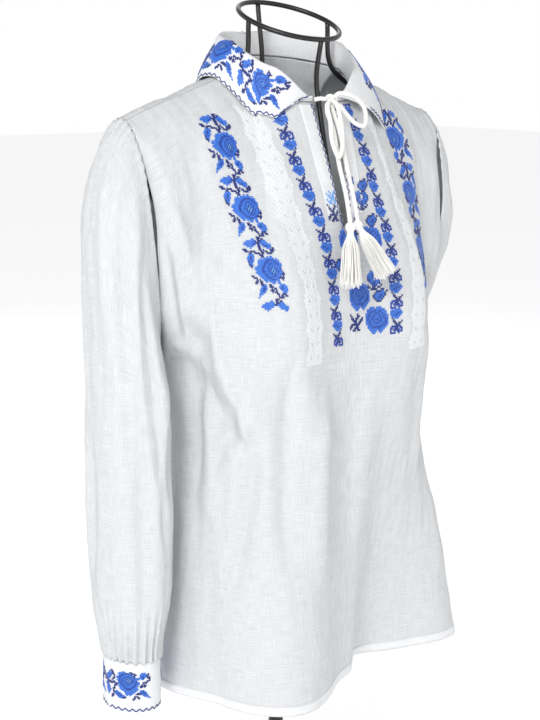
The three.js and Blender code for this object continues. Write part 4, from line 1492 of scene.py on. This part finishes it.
def make_form(materials):
    """The wire dress form: neck, bust, waist and hip rings, uprights, shoulders, arms, post and base."""

    def wire(solid, points, steps, closed=False):
        made = tubes(solid + "_wire", [curve(points, steps, closed)], WIRE_R, materials["wire"], 14, closed)
        finish_piece(made, "black_wire", solid)

    wire("form_neck_ring", [neck_ring_point(k * 15) for k in range(24)], 96, True)
    for name, ring in RINGS.items():
        wire("form_" + name + "_ring", [ring_point(ring, k * 15) for k in range(24)], 120, True)
    for degrees in (0, 45, 135, 180, 225, 315):
        wire("form_rib_" + str(degrees), rib_points(degrees), 90)
    wire("form_shoulder_right", shoulder_points(-1), 70)
    wire("form_shoulder_left", shoulder_points(1), 70)
    for degrees in (0, 90, 180, 270):
        turn = math.radians(degrees)
        outer = ring_point(RINGS["hip"], degrees, WIRE_R * 2 + WIRE_GAP)
        reach = POST_R + WIRE_GAP
        inner = (reach * math.sin(turn), -reach * math.cos(turn), 242)
        wire("form_arm_" + str(degrees), [inner, (outer[0], outer[1], 242)], 4)
    low = -STAND_RISE
    disc("post", POST_R, low + BASE_THICK + WIRE_GAP, RINGS["hip"]["z"], 1.0, materials["wire"], "form_post")
    disc("base_plate", BASE_R, low, low + BASE_THICK, 1.2, materials["wire"], "form_base")


# ---- Floor, light and camera ----


def make_room(scene):
    """The room round the blouse: white near the horizon and dimmer overhead, so that folds show."""
    world = bpy.data.worlds.new("white_room")
    world.use_nodes = True
    tree = world.node_tree
    toward = node(tree, "ShaderNodeTexCoord").outputs["Generated"]
    up = node(tree, "ShaderNodeSeparateXYZ", {0: toward}).outputs["Z"]
    power = node(
        tree, "ShaderNodeMapRange",
        {"Value": up, "From Min": 0.34, "From Max": 0.70, "To Min": 1.0, "To Max": 0.30},
    )
    back = tree.nodes["Background"]
    back.inputs["Color"].default_value = (1, 1, 1, 1)
    tree.links.new(power.outputs[0], back.inputs["Strength"])
    scene.world = world
    scene.view_settings.view_transform = "Standard"


def make_stage():
    """A pale floor, soft light and the camera."""
    scene = bpy.context.scene
    work = bmesh.new()
    bmesh.ops.create_grid(work, x_segments=1, y_segments=1, size=12)
    mesh = bpy.data.meshes.new("floor")
    work.to_mesh(mesh)
    work.free()
    pale = plain("pale_floor", linear("#f4f4f4"), 0.9)
    shader = next(n for n in pale.node_tree.nodes if n.type == "BSDF_PRINCIPLED")
    shader.inputs["Emission Color"].default_value = (1, 1, 1, 1)
    shader.inputs["Emission Strength"].default_value = 0.45
    mesh.materials.append(pale)
    floor = bpy.data.objects.new("floor", mesh)
    scene.collection.objects.link(floor)
    make_room(scene)
    for name, place, size, power in (
        ("key", (-2.3, -1.5, 2.2), 1.0, 62), ("fill", (1.4, -2.6, 1.0), 1.6, 6),
        ("rim", (1.4, 2.0, 2.0), 1.4, 12),
    ):
        lamp = bpy.data.lights.new(name, "AREA")
        lamp.size, lamp.energy = size, power
        made = bpy.data.objects.new(name, lamp)
        made.location = place
        made.rotation_mode = "QUATERNION"
        made.rotation_quaternion = (Vector((0, 0, 0.5)) - Vector(place)).to_track_quat("-Z", "Y")
        scene.collection.objects.link(made)
    camera = bpy.data.objects.new("camera", bpy.data.cameras.new("camera"))
    place, target = Vector((-1.0286, -1.1953, 0.8390)), Vector((0, -0.012, 0.520))
    roll = Matrix.Rotation(math.radians(0.5), 4, "Z")
    camera.matrix_world = (
        Matrix.Translation(place) @ (target - place).to_track_quat("-Z", "Y").to_matrix().to_4x4() @ roll
    )
    camera.data.lens = 76.65
    camera.data.shift_x, camera.data.shift_y = -0.0222, 0.0028
    camera.data.clip_start, camera.data.clip_end = 0.05, 60
    scene.collection.objects.link(camera)
    scene.camera = camera


# ---- Sidebar ----

MATERIALS = {}


def materials():
    """The materials, made once."""
    if not MATERIALS:
        MATERIALS.update(make_materials())
    return MATERIALS


class IeSettings(bpy.types.PropertyGroup):
    """Sizes of the blouse that can be changed before building it. They are in millimetres."""

    cloth: bpy.props.FloatProperty(
        name="Cloth", description="Thickness of the cloth in millimetres", default=CLOTH, min=0.2, max=1.2
    )
    crease: bpy.props.FloatProperty(
        name="Creases", description="How deep the creases are, as a share of their listed depths",
        default=1.9, min=0.0, max=2.0, subtype="FACTOR",
    )
    slack: bpy.props.FloatProperty(
        name="Slack", description="Unevenness of the hanging cloth in millimetres", default=1.0,
        min=0.0, max=2.0,
    )
    pitch: bpy.props.FloatProperty(
        name="Stitch", description="Size of a white openwork stitch in millimetres", default=1.75,
        min=1.2, max=3.0,
    )
    yarns: bpy.props.IntProperty(
        name="Yarns", description="Cut yarns in each tassel", default=110, min=20, max=300
    )


class IeOperator(bpy.types.Operator):
    """Shared parts of the operators."""

    bl_options = {"REGISTER", "UNDO"}

    def execute(self, context):
        self.build(context.scene.ie_settings, materials())
        return {"FINISHED"}


class IE_OT_body(IeOperator):
    """Builds the front and back panels and their hems"""

    bl_idname, bl_label = "ie.body", "Body panels"

    def build(self, settings, made):
        make_front(settings, made)
        make_back(settings, made)
        make_hems(made)


class IE_OT_sleeves(IeOperator):
    """Builds both sleeves and their cuffs"""

    bl_idname, bl_label = "ie.sleeves", "Sleeves and cuffs"

    def build(self, settings, made):
        for word, side in (("right", -1), ("left", 1)):
            make_sleeve("sleeve_" + word, side, settings, made)
            make_cuff("cuff_" + word, side, made)


class IE_OT_collar(IeOperator):
    """Builds the turn-down collar, which lies on the panels"""

    bl_idname, bl_label = "ie.collar", "Collar"

    def build(self, settings, made):
        make_collar(made)


class IE_OT_embroidery(IeOperator):
    """Lays the cross-stitch, zigzags, openwork and facings on the cloth"""

    bl_idname, bl_label = "ie.embroidery", "Embroidery"

    def build(self, settings, made):
        make_front_embroidery(settings, made)
        make_collar_embroidery(made)
        for word, side in (("right", -1), ("left", 1)):
            make_cuff_embroidery("cuff_" + word, side, made)


class IE_OT_tie(IeOperator):
    """Builds the tie cord, its knot and bow, and the two tassels"""

    bl_idname, bl_label = "ie.tie", "Tie and tassels"

    def build(self, settings, made):
        make_tassel("tassel_right", "right", settings, made)
        make_tassel("tassel_left", "left", settings, made)
        make_tie(made)


class IE_OT_form(IeOperator):
    """Builds the black wire dress form on its base plate"""

    bl_idname, bl_label = "ie.form", "Wire form"

    def build(self, settings, made):
        make_form(made)


class IE_OT_cuts(IeOperator):
    bl_idname, bl_label = "ie.cuts", "Flat cuts"

    def build(self, settings, made):
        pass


class IE_OT_stage(IeOperator):
    """Builds the floor, the lights and the camera"""

    bl_idname, bl_label = "ie.stage", "Floor, light and camera"

    def build(self, settings, made):
        make_stage()


STEPS = (
    IE_OT_body, IE_OT_sleeves, IE_OT_collar, IE_OT_embroidery,
    IE_OT_tie, IE_OT_form, IE_OT_cuts, IE_OT_stage,
)


class IE_PT_panel(bpy.types.Panel):
    """The sidebar panel that lists the steps"""

    bl_idname, bl_label = "IE_PT_panel", "Ie blouse"
    bl_space_type, bl_region_type, bl_category = "VIEW_3D", "UI", "Ie blouse"

    def draw(self, context):
        for name in ("cloth", "crease", "slack", "pitch", "yarns"):
            self.layout.prop(context.scene.ie_settings, name)
        for step in STEPS:
            self.layout.operator(step.bl_idname)


def register():
    """Adds the add-on's classes."""
    for made in (IeSettings, *STEPS, IE_PT_panel):
        bpy.utils.register_class(made)
    bpy.types.Scene.ie_settings = bpy.props.PointerProperty(type=IeSettings)


def unregister():
    """Takes the add-on's classes away."""
    del bpy.types.Scene.ie_settings
    for made in reversed((IeSettings, *STEPS, IE_PT_panel)):
        bpy.utils.unregister_class(made)


def main():
    """Builds everything in order."""
    register()
    for step in STEPS:
        group, name = step.bl_idname.split(".")
        getattr(getattr(bpy.ops, group), name)()


if __name__ == "__main__":
    main()
